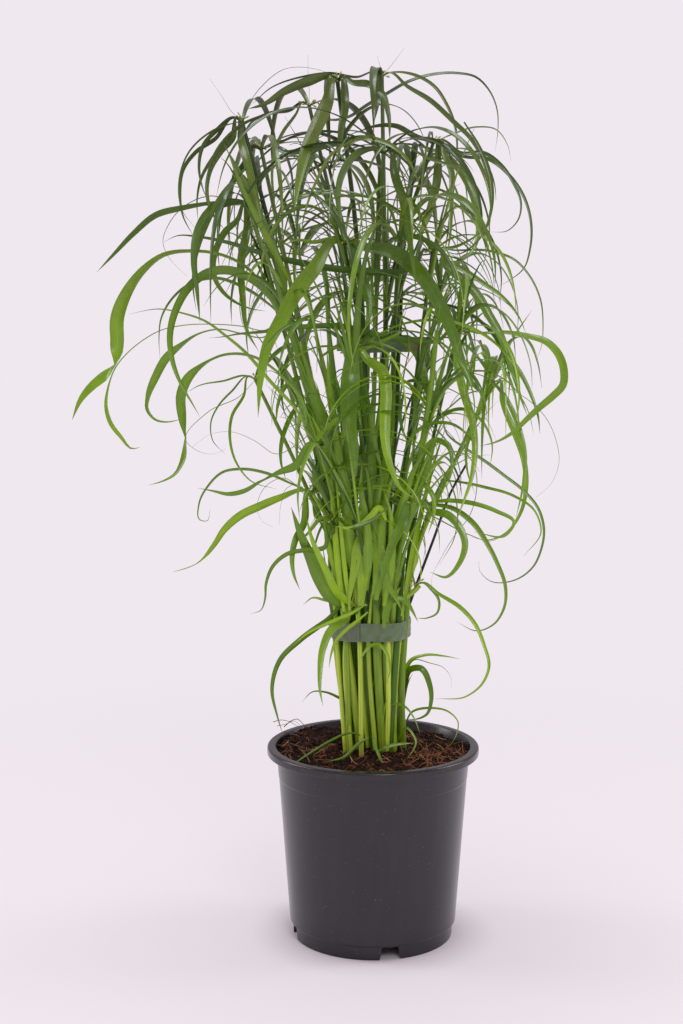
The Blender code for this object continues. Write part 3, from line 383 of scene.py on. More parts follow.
# Young leaves at the foot: width in mm, tint, first and last depth in mm, turns in degrees, pixels
YOUNG_LEAVES = (
    (4.5, 0.15, 6, -30, (60, 30),
     ((372, 724), (358, 706), (342, 699), (325, 692), (312, 692), (302, 702))),
    (7.0, 0.1, 4, -20, (20, 75, 60),
     ((400, 716), (404, 690), (411, 669), (420, 668), (430, 686), (431, 702), (427, 714), (417, 719),
      (405, 719))),
    (3.0, 0.35, 0, -22, (60, 20),
     ((404, 728), (412, 712), (432, 708), (449, 712), (458, 722), (457, 733), (449, 746), (436, 752))),
    (4.0, 0.3, -8, -34, (30, 70),
     ((380, 742), (376, 716), (392, 704), (404, 706), (414, 718), (420, 734))),
    (3.5, 0.25, -14, -40, (30, 60), ((396, 744), (407, 728), (416, 742), (412, 752), (407, 758))),
    (3.0, 0.05, -22, -60, (50, 70),
     ((363, 736), (350, 733), (332, 740), (315, 750), (298, 761), (281, 773))),
    (4.0, 0.1, -28, -58, (50, 70), ((368, 738), (358, 744), (344, 757), (326, 762))),
    (4.0, 0.15, -26, -56, (40, 60), ((372, 736), (376, 748), (382, 762), (388, 772))),
    (4.0, 0.2, -24, -50, (55, 70), ((376, 752), (386, 747), (400, 744), (414, 743))),
    (4.0, 0.75, 8, 20, (70, 70),
     ((392, 700), (404, 672), (411, 660), (425, 655), (444, 656), (460, 659))),
    (1.6, 0.1, 10, 4, (40, 30),
     ((396, 700), (406, 672), (414, 660), (430, 663), (444, 668), (451, 678), (451, 688))),
)

# Leaves that rise between the culms, lie over the tapes or arch out of the sheaf, in the same terms
CLUMP_LEAVES = (
    (4.5, 0.75, -40, -56, (50, 70),
     ((366, 604), (352, 613), (338, 619), (324, 625), (308, 633), (292, 646))),
    (4.5, 0.7, -42, -42, (45, 70),
     ((368, 612), (356, 622), (345, 631), (336, 641), (331, 655), (329, 668))),
    (4.0, 0.5, -32, -44, (60, 50),
     ((362, 656), (370, 646), (379, 645), (387, 654), (390, 669), (387, 683))),
    (7.0, 0.35, -44, -40, (85, 60),
     ((384, 628), (386, 612), (393, 600), (404, 600), (413, 612), (418, 622))),
    (5.0, 0.45, -56, -62, (60, 70),
     ((322, 356), (338, 346), (356, 341), (376, 343), (396, 350), (410, 360))),
    (4.0, 0.6, -54, -60, (70, 50), ((404, 330), (392, 337), (378, 343), (362, 352), (350, 366))),
    (12, 0.85, -36, -58, (80, 85),
     ((334, 492), (330, 468), (326, 448), (330, 430), (340, 415), (346, 398))),
    (9, 0.6, -36, -62, (70, 80), ((335, 492), (335, 466), (339, 446), (347, 426), (357, 409))),
    (11, 0.55, -38, -52, (85, 80),
     ((358, 588), (353, 562), (348, 530), (346, 502), (345, 480), (341, 462))),
    (13, 0.85, -46, -46, (70, 80, 80),
     ((361, 604), (363, 570), (365, 540), (366, 534), (359, 546), (355, 567), (351, 588), (348, 611))),
    (12, 0.65, -46, -46, (70, 80, 80),
     ((361, 606), (364, 572), (367, 541), (370, 535), (375, 544), (377, 560), (375, 580), (372, 600))),
    (6.5, 0.9, -56, -60, (60, 70),
     ((386, 520), (379, 508), (371, 516), (363, 523), (350, 528), (334, 526))),
    (1.6, 0.5, -54, -60, (40, 40), ((372, 515), (375, 527), (383, 547), (391, 565), (402, 578))),
    (10, 0.5, -40, -56, (80, 75),
     ((376, 600), (378, 560), (381, 528), (385, 504), (391, 481), (399, 462))),
    (6, 0.4, -52, -46, (75, 60), ((381, 560), (384, 574), (391, 590), (398, 602), (402, 612))),
    (5, 0.35, -72, -60, (80, 70),
     ((372, 372), (374, 391), (372, 421), (376, 447), (381, 473), (379, 500))),
    (4, 0.05, -60, -66, (60, 70), ((398, 378), (411, 386), (415, 408), (411, 426), (405, 436))),
    (4, 0.05, -58, -62, (60, 70), ((404, 392), (400, 414), (404, 434), (410, 446))),
    (8, 0.45, -50, -70, (75, 80), ((327, 470), (322, 432), (316, 400), (308, 370), (300, 344))),
    (7.5, 0.55, -46, -66, (75, 80), ((333, 480), (326, 436), (317, 404), (306, 374), (296, 352))),
    (9, 0.65, -44, -58, (80, 80), ((352, 520), (345, 486), (338, 452), (336, 428), (341, 408))),
    (9, 0.5, -40, -60, (75, 85), ((388, 570), (394, 536), (404, 500), (414, 470), (428, 446))),
    (8, 0.35, -40, -66, (80, 75), ((398, 560), (408, 520), (420, 486), (432, 452), (440, 424))),
    (7, 0.75, -36, -40, (70, 85), ((346, 602), (338, 576), (330, 552), (326, 532), (328, 512))),
    (9, 0.45, -44, -62, (80, 80), ((366, 590), (368, 556), (366, 522), (361, 490), (362, 462))),
    (8, 0.6, -42, -58, (80, 80), ((384, 606), (390, 572), (392, 540), (390, 512), (383, 488))),
    (7, 0.4, -38, -70, (80, 70), ((371, 560), (374, 520), (380, 484), (389, 452), (394, 424))),
    (5, 0.0, -40, -50, (30, 60),
     ((402, 384), (412, 380), (424, 384), (434, 394), (440, 408), (438, 424))),
    (5, 0.6, -30, -60, (60, 75),
     ((480, 340), (486, 362), (484, 392), (474, 424), (466, 452), (468, 474), (475, 494))),
    (5.5, 0.5, -20, -60, (60, 70),
     ((492, 380), (508, 402), (519, 428), (525, 456), (523, 486), (516, 518))),
    (3.5, 0.6, -10, -50, (50, 60),
     ((440, 480), (460, 482), (484, 487), (514, 496), (534, 510), (541, 532), (524, 556))),
    (5, 0.55, -40, -70, (55, 70),
     ((420, 506), (440, 501), (466, 502), (496, 511), (514, 522), (506, 535), (474, 532))),
    (4, 0.7, -30, -60, (50, 60),
     ((428, 430), (444, 414), (463, 409), (481, 420), (492, 444), (490, 468))),
    (4, 0.4, -50, -70, (60, 60),
     ((404, 452), (414, 434), (430, 424), (452, 424), (470, 438), (478, 456))),
    (4.5, 0.3, -10, -40, (60, 75), ((500, 348), (516, 366), (530, 392), (538, 416), (540, 434))),
    (6, 0.5, -44, -70, (70, 80),
     ((412, 478), (422, 456), (436, 440), (448, 446), (452, 466), (446, 490))),
    (6, 0.75, -40, -66, (70, 80),
     ((392, 500), (404, 486), (420, 482), (432, 494), (434, 514), (428, 534))),
    (5, 0.45, -30, -60, (60, 70), ((300, 400), (290, 418), (282, 440), (281, 462), (286, 480))),
    (5, 0.6, -20, -50, (60, 70), ((312, 384), (300, 378), (286, 386), (278, 404), (276, 426))),
    (5, 0.85, -60, -100, (50, 70), ((342, 152), (358, 139), (387, 143), (408, 160), (420, 186))),
    (3.5, 0.9, -70, -90, (50, 60), ((352, 140), (332, 154), (316, 182), (305, 212), (300, 240))),
    (2.5, 0.4, -20, -30, (40, 50),
     ((244, 120), (212, 131), (189, 152), (179, 181), (182, 210), (195, 228))),
    (4, 0.3, -30, -50, (50, 60),
     ((270, 112), (240, 126), (216, 152), (207, 182), (208, 206), (216, 222))),
    (4, 0.25, -30, -50, (50, 60),
     ((464, 122), (478, 144), (490, 174), (492, 204), (480, 238), (458, 254), (438, 248))),
    (3.5, 0.5, -40, -60, (50, 60),
     ((398, 140), (428, 158), (460, 170), (477, 196), (479, 226), (466, 252))),
    (4, 0.2, 0, -20, (50, 60), ((436, 142), (448, 152), (451, 174), (451, 206), (447, 238), (444, 258))),
    (6, 0.9, -70, -110, (80, 80), ((290, 282), (272, 247), (257, 218), (241, 185), (226, 146))),
    (5, 0.35, -60, -80, (60, 70),
     ((246, 168), (224, 192), (206, 226), (196, 256), (193, 284), (196, 310))),
    (3, 0.8, -80, -110, (50, 60),
     ((392, 214), (420, 196), (448, 200), (474, 222), (486, 250), (480, 276))),
    (5, 0.2, -60, -90, (60, 80),
     ((382, 246), (398, 236), (420, 238), (444, 254), (456, 282), (454, 306))),
    (4.5, 0.7, -50, -90, (50, 70),
     ((330, 214), (308, 206), (286, 214), (270, 236), (262, 262), (262, 290))),
    (9, 0.55, -44, -60, (80, 80),
     ((338, 492), (333, 458), (325, 424), (314, 390), (305, 362), (297, 336))),
    (8, 0.7, -42, -64, (80, 75), ((342, 480), (338, 446), (333, 412), (329, 380), (327, 350))),
    (8, 0.4, -40, -56, (75, 80), ((348, 500), (346, 462), (344, 428), (340, 396), (333, 366))),
    (7, 0.5, -38, -50, (75, 80), ((330, 500), (322, 462), (311, 428), (299, 398), (287, 372))),
    (8, 0.3, -46, -62, (80, 75), ((372, 520), (372, 480), (371, 440), (368, 402), (362, 370))),
    (7, 0.6, -42, -50, (75, 80), ((384, 500), (386, 462), (388, 428), (390, 396), (391, 368))),
    (7, 0.2, -30, -44, (70, 75), ((356, 440), (357, 400), (355, 362), (350, 326), (346, 298))),
    (6, 0.45, -34, -50, (75, 70), ((340, 420), (334, 380), (330, 344), (327, 308), (326, 282))),
    (6, 1.0, -40, -46, (75, 75),
     ((344, 612), (339, 576), (335, 532), (332, 492), (327, 452), (321, 424))),
    (4.5, 0.95, -42, -52, (70, 80), ((350, 612), (345, 570), (341, 532), (338, 498), (335, 470))),
    (5.5, 0.95, -36, -30, (75, 80),
     ((402, 616), (408, 580), (416, 537), (426, 493), (437, 453), (447, 424))),
)

# Thread-like bracts: crown, width and tip depth in mm, pixels passed
THREADS = (
    (4, 0.5, -20, ((232, 112), (221, 95), (210, 79))),
    (3, 0.5, 30, ((309, 85), (308, 70), (308, 55))),
    (1, 0.5, 10, ((389, 68), (397, 58), (404, 48))),
    (1, 0.5, 14, ((381, 70), (379, 62), (377, 56))),
    (4, 0.9, 10, ((247, 108), (262, 86), (285, 69), (310, 68), (330, 74), (346, 84))),
    (8, 1.2, 0,
     ((236, 205), (214, 196), (186, 205), (170, 222), (163, 243), (168, 256), (178, 268), (187, 276))),
    (13, 1.1, -60, ((330, 400), (300, 442), (276, 454), (255, 441), (232, 432), (211, 434), (192, 447))),
    (14, 1.1, 0, ((240, 396), (208, 412), (186, 441), (198, 451), (213, 454), (226, 449))),
    (20, 1.0, -70, ((308, 498), (282, 478), (266, 486), (260, 495), (257, 510), (263, 522), (273, 527))),
    (20, 0.9, -60, ((312, 500), (296, 484), (286, 489), (281, 504), (279, 525))),
    (15, 1.0, 20, ((516, 392), (546, 418), (556, 440), (559, 462), (550, 485), (536, 497))),
    (17, 1.2, -60,
     ((455, 440), (475, 468), (475, 500), (470, 515), (455, 535), (440, 560), (432, 577), (432, 592))),
    (21, 1.6, -60, ((440, 520), (470, 535), (490, 541), (507, 534))),
    (15, 2.2, -20, ((488, 387), (465, 395), (450, 407), (430, 425), (415, 450), (402, 470))),
)

THREAD_TURNS = (40, 40)
THREAD_TINTS = (0.05, 0.5)

# The dead culm: its radii in mm at the foot and the tip, then the pixels passed with depths in mm
DEAD_RADII = (1.5, 1.0)
DEAD_ROWS = 24
DEAD_SIDES = 8
DEAD_TINT = 0.5
DEAD_CULM = ((397, 640, -4), (416, 586, -10), (434, 538, -18), (451, 492, -24), (467, 463, -28))


def linear(code):
    """An sRGB hex colour as linear red, green and blue."""
    shares = [int(code[start:start + 2], 16) / 255 for start in (1, 3, 5)]
    return tuple(share / 12.92 if share <= 0.04045 else ((share + 0.055) / 1.055) ** 2.4
                 for share in shares)


def blade(width, tip, turns, *marks, seen=None, late=1.0):
    """One bract: width and tip depth in mm, turns towards the viewer in degrees, pixels passed.

    The turns are the solid's. Where the finer blade twists otherwise, seen holds its own turns, and
    late above 1 moves its widest place towards the tip.
    """
    return {"width": width * MM, "tip": tip * MM, "turns": turns, "marks": marks, "seen": seen, "late": late}


def shoot(u, v, depth, spare, **blades):
    """One culm with its crown at pixel (u, v): depth in mm, extra bracts and traced blades."""
    return {"u": u, "v": v, "depth": depth * MM, "spare": spare, "blades": blades}


# Blades are turned 0 degrees where they show their edge to the viewer and 90 where they show their face
SHOOTS = (
    shoot(382, 80, 12, 2,
          right_arch=blade(
              6, -30, (45, 60), (407, 86), (430, 100), (453, 121), (472, 140), (484, 163), (490, 188),
              (491, 213), (488, 230)),
          right_inner=blade(
              5, 45, (30, 60), (396, 72), (415, 75), (434, 86), (447, 105), (455, 126), (457, 142),
              (455, 174)),
          left_arch=blade(5, 25, (30, 20), (357, 77), (328, 73), (301, 77), (274, 86), (250, 106)),
          front_fall=blade(7, -50, (75, 80), (377, 100), (373, 125))),
    shoot(338, 85, -18, 1,
          gloss_fall=blade(
              13, -120, (75, 80), (328, 100), (319, 121), (306, 150), (299, 179), (294, 211)),
          left_broad=blade(10, -60, (60, 60), (328, 79), (306, 82), (285, 91), (262, 105), (247, 109)),
          dark_fall=blade(8, -62, (70, 80), (345, 102), (341, 130), (338, 165)),
          right_fall=blade(7, -75, (60, 80), (352, 82), (368, 84), (381, 92), (388, 112), (390, 142))),
    shoot(310, 109, 40, 2,
          great_arc=blade(
              5.5, 30, (35, 35), (328, 119), (348, 117), (367, 105), (386, 94), (407, 82), (434, 74),
              (457, 73), (476, 77), (489, 90), (497, 109), (498, 130), (495, 152)),
          left_arch=blade(5, 70, (40, 50), (290, 110), (270, 113), (253, 121), (240, 140)),
          pale_fall=blade(
              4, -20, (50, 60), (296, 114), (283, 132), (275, 150), (272, 175), (274, 200), (276, 232))),
    shoot(243, 125, -12, 1,
          outer_fall=blade(
              5, -10, (45, 60), (215, 139), (196, 152), (183, 170), (180, 193), (183, 216), (194, 237)),
          near_fall=blade(5, -40, (60, 45), (217, 130), (203, 146), (199, 166), (203, 189), (208, 201)),
          back_fall=blade(5, 30, (50, 50), (232, 136), (215, 155), (201, 179), (197, 202), (198, 221)),
          dark_fall=blade(
              6, -60, (50, 55), (234, 137), (221, 152), (210, 171), (207, 193), (212, 212), (226, 232)),
          gloss_fall=blade(8, -75, (80, 80), (241, 136), (247, 161), (255, 193), (262, 225), (268, 250))),
    shoot(262, 153, 25, 3,
          across=blade(
              7, -70, (45, 70), (285, 152), (312, 149), (340, 142), (367, 138), (386, 146), (405, 161),
              (422, 182)),
          left_fall=blade(7, 20, (60, 60), (247, 160), (235, 178), (226, 195), (221, 214), (220, 230))),
    shoot(432, 147, -18, 0,
          gloss_fall=blade(8, -75, (75, 75), (438, 157), (437, 180), (430, 209), (422, 230), (418, 246)),
          near_fall=blade(7, -55, (55, 55), (445, 155), (451, 170), (451, 199), (450, 234), (447, 257)),
          right_loop=blade(
              5.5, -20, (45, 40, 30), (461, 153), (484, 153), (503, 167), (514, 184), (521, 203),
              (518, 220), (507, 231), (491, 232)),
          thin_arch=blade(3, 20, (30, 30), (453, 134), (476, 127), (497, 130), (508, 146), (511, 161)),
          dark_hook=blade(
              7, -66, (60, 70, 50), (445, 158), (457, 167), (468, 184), (476, 207), (478, 232),
              (472, 251), (459, 258), (449, 253)),
          left_arch=blade(7, 10, (45, 50), (415, 136), (396, 126), (376, 126), (357, 132)),
          outer_right=blade(
              5, 35, (40, 45), (462, 156), (488, 159), (510, 176), (524, 197), (531, 222), (530, 249),
              (524, 268), (510, 280), (497, 287))),
    shoot(384, 157, -52, 3,
          gloss_fall=blade(8, -110, (80, 80), (394, 172), (403, 200), (408, 230), (413, 262), (416, 290)),
          left_fall=blade(
              7, -100, (70, 80), (370, 150), (354, 156), (343, 172), (338, 192), (340, 216), (344, 240))),
    shoot(252, 212, -24, 1,
          left_reach=blade(
              7, -40, (55, 55), (232, 202), (213, 203), (182, 208), (156, 215), (133, 234), (114, 254),
              (97, 272), late=1.8),
          broad_fall=blade(
              9, -70, (60, 70), (234, 202), (215, 207), (203, 220), (196, 237), (194, 262), (197, 290),
              (200, 322)),
          hooked_fall=blade(
              7, -5, (60, 60, 40), (238, 219), (225, 232), (217, 247), (213, 265), (216, 281), (224, 293),
              (237, 303), (252, 309), (266, 311)),
          near_fall=blade(8, -60, (70, 75), (247, 228), (241, 262), (243, 300), (247, 330), (259, 352))),
    shoot(345, 247, -56, 1,
          great_gloss=blade(
              14, -150, (80, 85), (333, 252), (314, 269), (298, 289), (282, 318), (267, 347), (261, 375),
              (258, 417)),
          great_arch=blade(
              14, -140, (55, 80, 80, 60), (362, 246), (385, 249), (405, 259), (425, 280), (440, 305),
              (453, 335), (461, 359), (469, 379), (483, 396), (487, 412)),
          small_left=blade(5, -80, (45, 60), (330, 246), (312, 242), (297, 240), (284, 245)),
          dark_fall=blade(9, -110, (70, 80), (354, 262), (364, 281), (369, 303), (365, 330))),
    shoot(399, 246, -54, 5),
    shoot(432, 256, -42, 0,
          right_reach=blade(
              6, 10, (55, 55), (445, 259), (464, 270), (483, 283), (499, 294), (512, 307), (521, 321),
              (526, 334)),
          broad_right=blade(
              9, -70, (65, 80), (446, 266), (464, 280), (480, 299), (489, 315), (499, 332), (507, 353),
              (515, 379), (523, 404), (528, 417)),
          far_right=blade(
              3.5, 30, (40, 40), (452, 250), (490, 251), (515, 260), (529, 275), (540, 298), (543, 325),
              (541, 348), (536, 361)),
          young=blade(4, -50, (50, 50), (450, 248), (468, 241), (482, 231)),
          long_left=blade(
              8, -75, (50, 55, 60), (415, 267), (395, 272), (362, 271), (330, 268), (306, 264),
              (258, 252), (230, 243), (200, 237), (176, 236), (164, 242))),
    shoot(291, 324, -50, 0,
          twisted_reach=blade(
              13, -60, (15, 22, 85, 0, -60), (270, 298), (245, 266), (219, 254), (194, 251), (163, 255),
              (142, 271), (127, 292), (117, 319), (117, 343), (114, 365), (104, 376), (92, 386),
              (81, 399), (72, 420),
              seen=(30, 30, 30, 28, 25, 25, 25, 25, 28, 32, 40, 46, 55, 66, 80, 88, 0, -70, -75, -70,
                    -60),
              late=2.8),
          broad_left=blade(
              10, -90, (50, 60), (272, 299), (250, 278), (226, 270), (207, 273), (190, 286), (177, 307),
              (170, 334), (173, 363), (182, 386), (192, 403), (200, 417)),
          thin_left=blade(
              4.5, -30, (40, 50), (270, 305), (245, 288), (215, 278), (194, 282), (171, 300), (161, 319),
              (159, 338), (160, 359)),
          low_left=blade(
              5, 5, (25, 30, 60), (266, 330), (242, 326), (213, 324), (184, 325), (161, 330), (140, 342),
              (127, 353), (115, 368), (108, 388), (106, 407), (110, 422), (121, 437), (133, 449),
              (140, 447), seen=(12, 12, 12, 12, 12, 12, 12, 14, 40, 80, 60), late=5.0),
          upright=blade(
              9, -45, (80, 80), (283, 284), (271, 243), (260, 216), (249, 191), (235, 164), (224, 145)),
          curled=blade(
              8, 25, (20, 20, 60, 80, 30), (264, 337), (240, 333), (220, 329), (200, 333), (182, 344),
              (167, 357), (156, 376), (148, 397), (147, 409), (156, 420), (167, 422), (182, 419),
              seen=(12, 12, 12, 12, 12, 35, 85, 80, 35, 30, 30), late=2.5)),
    shoot(352, 356, -70, 3,
          front_fall=blade(
              17, -120, (80, 85), (351, 372), (349, 399), (349, 423), (354, 450), (355, 480)),
          right_fall=blade(
              11, -130, (70, 80, 60), (367, 359), (382, 371), (386, 391), (385, 415), (385, 439),
              (391, 468), (403, 491), (416, 499))),
    shoot(257, 383, -25, 2,
          thin_reach=blade(3, -25, (40, 40), (223, 381), (198, 386), (186, 393)),
          thin_fall=blade(3, 10, (40, 40), (232, 391), (219, 405), (211, 422), (213, 441), (225, 454)),
          thin_loop=blade(
              4, -50, (45, 45), (244, 395), (232, 416), (230, 439), (236, 462), (251, 481), (276, 489))),
    shoot(491, 386, 5, 2,
          hooked_fall=blade(
              6.5, -30, (70, 60, 40), (502, 400), (514, 431), (524, 461), (526, 488), (520, 514),
              (506, 533), (488, 540), (471, 537)),
          upright=blade(3.5, 35, (50, 50), (502, 363), (512, 340), (532, 310))),
    shoot(456, 338, -35, 2,
          right_loop=blade(
              8, -45, (30, 60, 70, 50), (480, 333), (502, 332), (528, 336), (547, 342), (559, 355),
              (564, 371), (563, 385), (553, 396), (540, 407), (528, 418), (512, 433), (496, 442),
              (480, 446), late=1.6),
          across=blade(
              8, -100, (50, 50), (441, 339), (409, 340), (385, 337), (362, 331), (339, 326), (317, 326),
              (290, 328), (260, 332), (238, 334), (221, 337), (209, 338)),
          gloss_fall=blade(
              8, -75, (70, 75), (457, 360), (463, 390), (472, 420), (475, 450), (471, 480), (463, 503),
              (456, 522))),
    shoot(430, 417, -52, 4,
          dark_loop=blade(
              4.5, -10, (30, 45, 45), (447, 434), (465, 448), (482, 459), (505, 476), (524, 491),
              (539, 510), (544, 530), (541, 550), (533, 567), (512, 581), (490, 581), (479, 569),
              (479, 561))),
    shoot(321, 450, -80, 2,
          pale_reach=blade(
              4.5, -35, (45, 45), (300, 415), (270, 381), (244, 351), (226, 336), (205, 321), (182, 313),
              (159, 309), (129, 314)),
          long_hook=blade(
              9, -60, (20, 30, 80, 20, -40), (303, 402), (285, 379), (270, 366), (257, 358), (242, 354),
              (223, 355), (202, 365), (188, 378), (181, 395), (182, 416), (185, 439), (182, 462),
              (175, 474), (163, 481), (149, 485),
              seen=(30, 30, 30, 30, 30, 30, 30, 30, 28, 22, 15, 35, 75, 85, 80, 40, -15, -55, -40, -35,
                    -35),
              late=2.6),
          low_left=blade(
              8, -80, (60, 75, 10, 70, 50), (295, 466), (280, 472), (261, 481), (244, 491), (228, 494),
              (213, 491), (198, 488))),
    shoot(315, 497, -36, 1,
          left_loop=blade(
              4.5, -30, (35, 45), (290, 483), (266, 473), (241, 469), (223, 472), (208, 486), (199, 504),
              (200, 520), (207, 521), (210, 509)),
          long_left=blade(
              9, -45, (40, 50, 70, 50, -60), (299, 495), (279, 498), (260, 506), (241, 515), (224, 530),
              (214, 545), (200, 561), (189, 567), (173, 572)),
          blunt_fall=blade(
              8, -70, (50, 60, 75), (304, 523), (295, 541), (292, 560), (294, 575), (300, 590))),
    shoot(332, 524, -46, 1,
          left_loop=blade(
              6, -75, (45, 50), (325, 547), (305, 550), (287, 554), (273, 566), (266, 584), (265, 599),
              (261, 610), (250, 614)),
          right_small=blade(5, -92, (50, 60), (350, 527), (366, 523), (380, 514), (391, 504)),
          left_small=blade(5, -55, (50, 50), (318, 528), (306, 535), (297, 541))),
    shoot(413, 509, -46, 2,
          right_loop=blade(
              6, -20, (60, 60, 50, 45, 40), (430, 504), (452, 508), (472, 522), (488, 545), (498, 565),
              (505, 584), (504, 608), (494, 624), (477, 631), (457, 622)),
          right_hook=blade(
              8, -80, (60, 75), (430, 510), (448, 515), (460, 528), (465, 545), (460, 562), (446, 577),
              (430, 572)),
          front_fall=blade(9, -98, (70, 75), (404, 520), (392, 545), (383, 575), (378, 600))),
    shoot(413, 588, -18, 2,
          right_loop=blade(
              5.5, -60, (50, 45, 40), (424, 587), (439, 594), (461, 608), (475, 624), (484, 645),
              (489, 667), (482, 684), (467, 696), (434, 699)),
          small_loop=blade(4, -30, (40, 50), (432, 590), (439, 601), (437, 613), (427, 618), (415, 618))),
    shoot(357, 609, -28, 0,
          long_left=blade(
              7, -50, (45, 60), (343, 612), (326, 621), (300, 640), (280, 660), (272, 690), (277, 715),
              (283, 735)),
          near_fall=blade(
              8, -75, (70, 75), (344, 620), (331, 630), (323, 648), (320, 672), (320, 690), (323, 706)),
          small_dark=blade(5, -38, (50, 40), (341, 604), (325, 600), (312, 598), (303, 605)),
          upright=blade(13, -72, (80, 85), (335, 600), (322, 583), (310, 556), (301, 535), (291, 507)),
          inner_upright=blade(8, -48, (70, 75), (337, 592), (325, 568), (313, 542), (306, 516))),
    shoot(330, 172, 98, 5),
    shoot(412, 187, 92, 5),
    shoot(300, 258, 118, 5),
    shoot(362, 305, 126, 5),
    shoot(440, 296, 100, 5),
)


def from_view(u, v, depth):
    """Point seen at pixel (u, v) and lying depth behind the pot's axis, on a line from the eye."""
    right = (u - PICTURE_CENTRE[0]) / FOCAL
    up = (PICTURE_CENTRE[1] - v) / FOCAL
    ahead = math.cos(EYE_PITCH) + up * math.sin(EYE_PITCH)
    rise = up * math.cos(EYE_PITCH) - math.sin(EYE_PITCH)
    across = right * math.cos(EYE_YAW) + ahead * math.sin(EYE_YAW)
    along = ahead * math.cos(EYE_YAW) - right * math.sin(EYE_YAW)
    reach = (EYE_BACK + depth) / along
    return POT_AXIS + np.array((across * reach, depth, EYE_HEIGHT + rise * reach))


def on_level(u, v, height):
    """Point seen at pixel (u, v) at a height: two trial depths give the line that is solved for it."""
    near, far = from_view(u, v, -TRIAL_DEPTH), from_view(u, v, TRIAL_DEPTH)
    share = (height - near[2]) / (far[2] - near[2])
    return near + (far - near) * share


def unit(vectors):
    """Vectors scaled to length one."""
    return vectors / np.linalg.norm(vectors, axis=-1, keepdims=True)


def smooth_path(points, count):
    """Even samples of the curve through the points, made of cubics with slopes along the chords."""
    points = np.asarray(points, float)
    steps = np.linalg.norm(np.diff(points, axis=0), axis=1)
    knots = np.concatenate(([0.0], np.cumsum(steps)))
    slopes = np.gradient(points, knots, axis=0)
    place = np.linspace(0.0, knots[-1], DENSE)
    piece = np.clip(np.searchsorted(knots, place, side="right") - 1, 0, len(steps) - 1)
    span = steps[piece][:, None]
    part = (place[:, None] - knots[piece][:, None]) / span
    curve = (
        (2 * part**3 - 3 * part**2 + 1) * points[piece]
        + (part**3 - 2 * part**2 + part) * span * slopes[piece]
        + (3 * part**2 - 2 * part**3) * points[piece + 1]
        + (part**3 - part**2) * span * slopes[piece + 1]
    )
    run = np.concatenate(([0.0], np.cumsum(np.linalg.norm(np.diff(curve, axis=0), axis=1))))
    even = np.linspace(0.0, run[-1], count)
    return np.stack([np.interp(even, run, curve[:, axis]) for axis in range(3)], axis=1)


def wander(points, length, seed):
    """A smooth random value at each point: sine waves of one length in seeded directions."""
    chance = np.random.default_rng(seed)
    heading = unit(chance.normal(size=(WAVES, points.shape[-1]))) * math.tau / length
    phase = chance.uniform(0.0, math.tau, WAVES)
    return np.sin(points @ heading.T + phase).sum(axis=-1) / WAVE_LEVEL


def blade_course(points, side, turns):
    """A blade's fine path with its across and upward directions.

    Across starts as side (or the line of sight, where side is None) made square to the path, and is
    turned about the path by the turns, so that twist(s) = the turns interpolated along the length.
    """
    path = smooth_path(points, FINE)
    ahead = unit(np.gradient(path, axis=0))
    eye = POT_AXIS + np.array((0.0, -EYE_BACK, EYE_HEIGHT))
    base = unit(path - eye) if side is None else np.broadcast_to(side, path.shape)
    base = unit(base - ahead * np.sum(base * ahead, axis=1, keepdims=True))
    place = np.linspace(0.0, 1.0, FINE)
    angle = np.radians(np.interp(place, np.linspace(0.0, 1.0, len(turns)), turns))[:, None]
    across = base * np.cos(angle) + np.cross(ahead, base) * np.sin(angle)
    near = int(FINE * CROWN_SHARE)
    level = np.broadcast_to(across[near], ahead[:near].shape)
    across[:near] = unit(level - ahead[:near] * np.sum(level * ahead[:near], axis=1, keepdims=True))
    upward = np.cross(ahead, across)
    if upward[: FINE // 2, 2].sum() < 0:
        upward = -upward
    return {"path": path, "across": across, "upward": upward}


def traced_points(plan, spec, hub, tip_depth, bulge):
    """Points of a blade through its pixels, its depth going from the crown's to the tip's."""
    marks = np.array(((plan["u"], plan["v"]),) + spec["marks"], float)
    run = np.concatenate(([0.0], np.cumsum(np.linalg.norm(np.diff(marks, axis=0), axis=1))))
    share = run / run[-1]
    depths = plan["depth"] + (tip_depth - plan["depth"]) * share + bulge * np.sin(math.pi * share)
    seen = [from_view(u, v, depth) for (u, v), depth in zip(marks[1:], depths[1:])]
    away = (seen[0] - hub) * np.array((1.0, 1.0, 0.0))
    shoulder = hub + unit(away) * SHOULDER_OUT + np.array((0.0, 0.0, SHOULDER_UP))
    near = np.linalg.norm(seen[0] - hub) < SHOULDER_NEAR
    return [hub, shoulder] + (seen[1:] if near else seen)


def within_reach(path, share=1.0):
    """True where a path stays in a share of the leafy mass."""
    x, y, z = (path - POT_AXIS).T
    left, right, depth = (np.interp(z, REACH_HEIGHTS, reach) * share
                          for reach in (REACH_LEFT, REACH_RIGHT, REACH_DEPTH))
    inside = (x > -left) & (x < right) & (np.abs(y) < depth)
    return bool(np.all(inside & (z > REACH_HEIGHTS[0]) & (z < REACH_HEIGHTS[-1])))


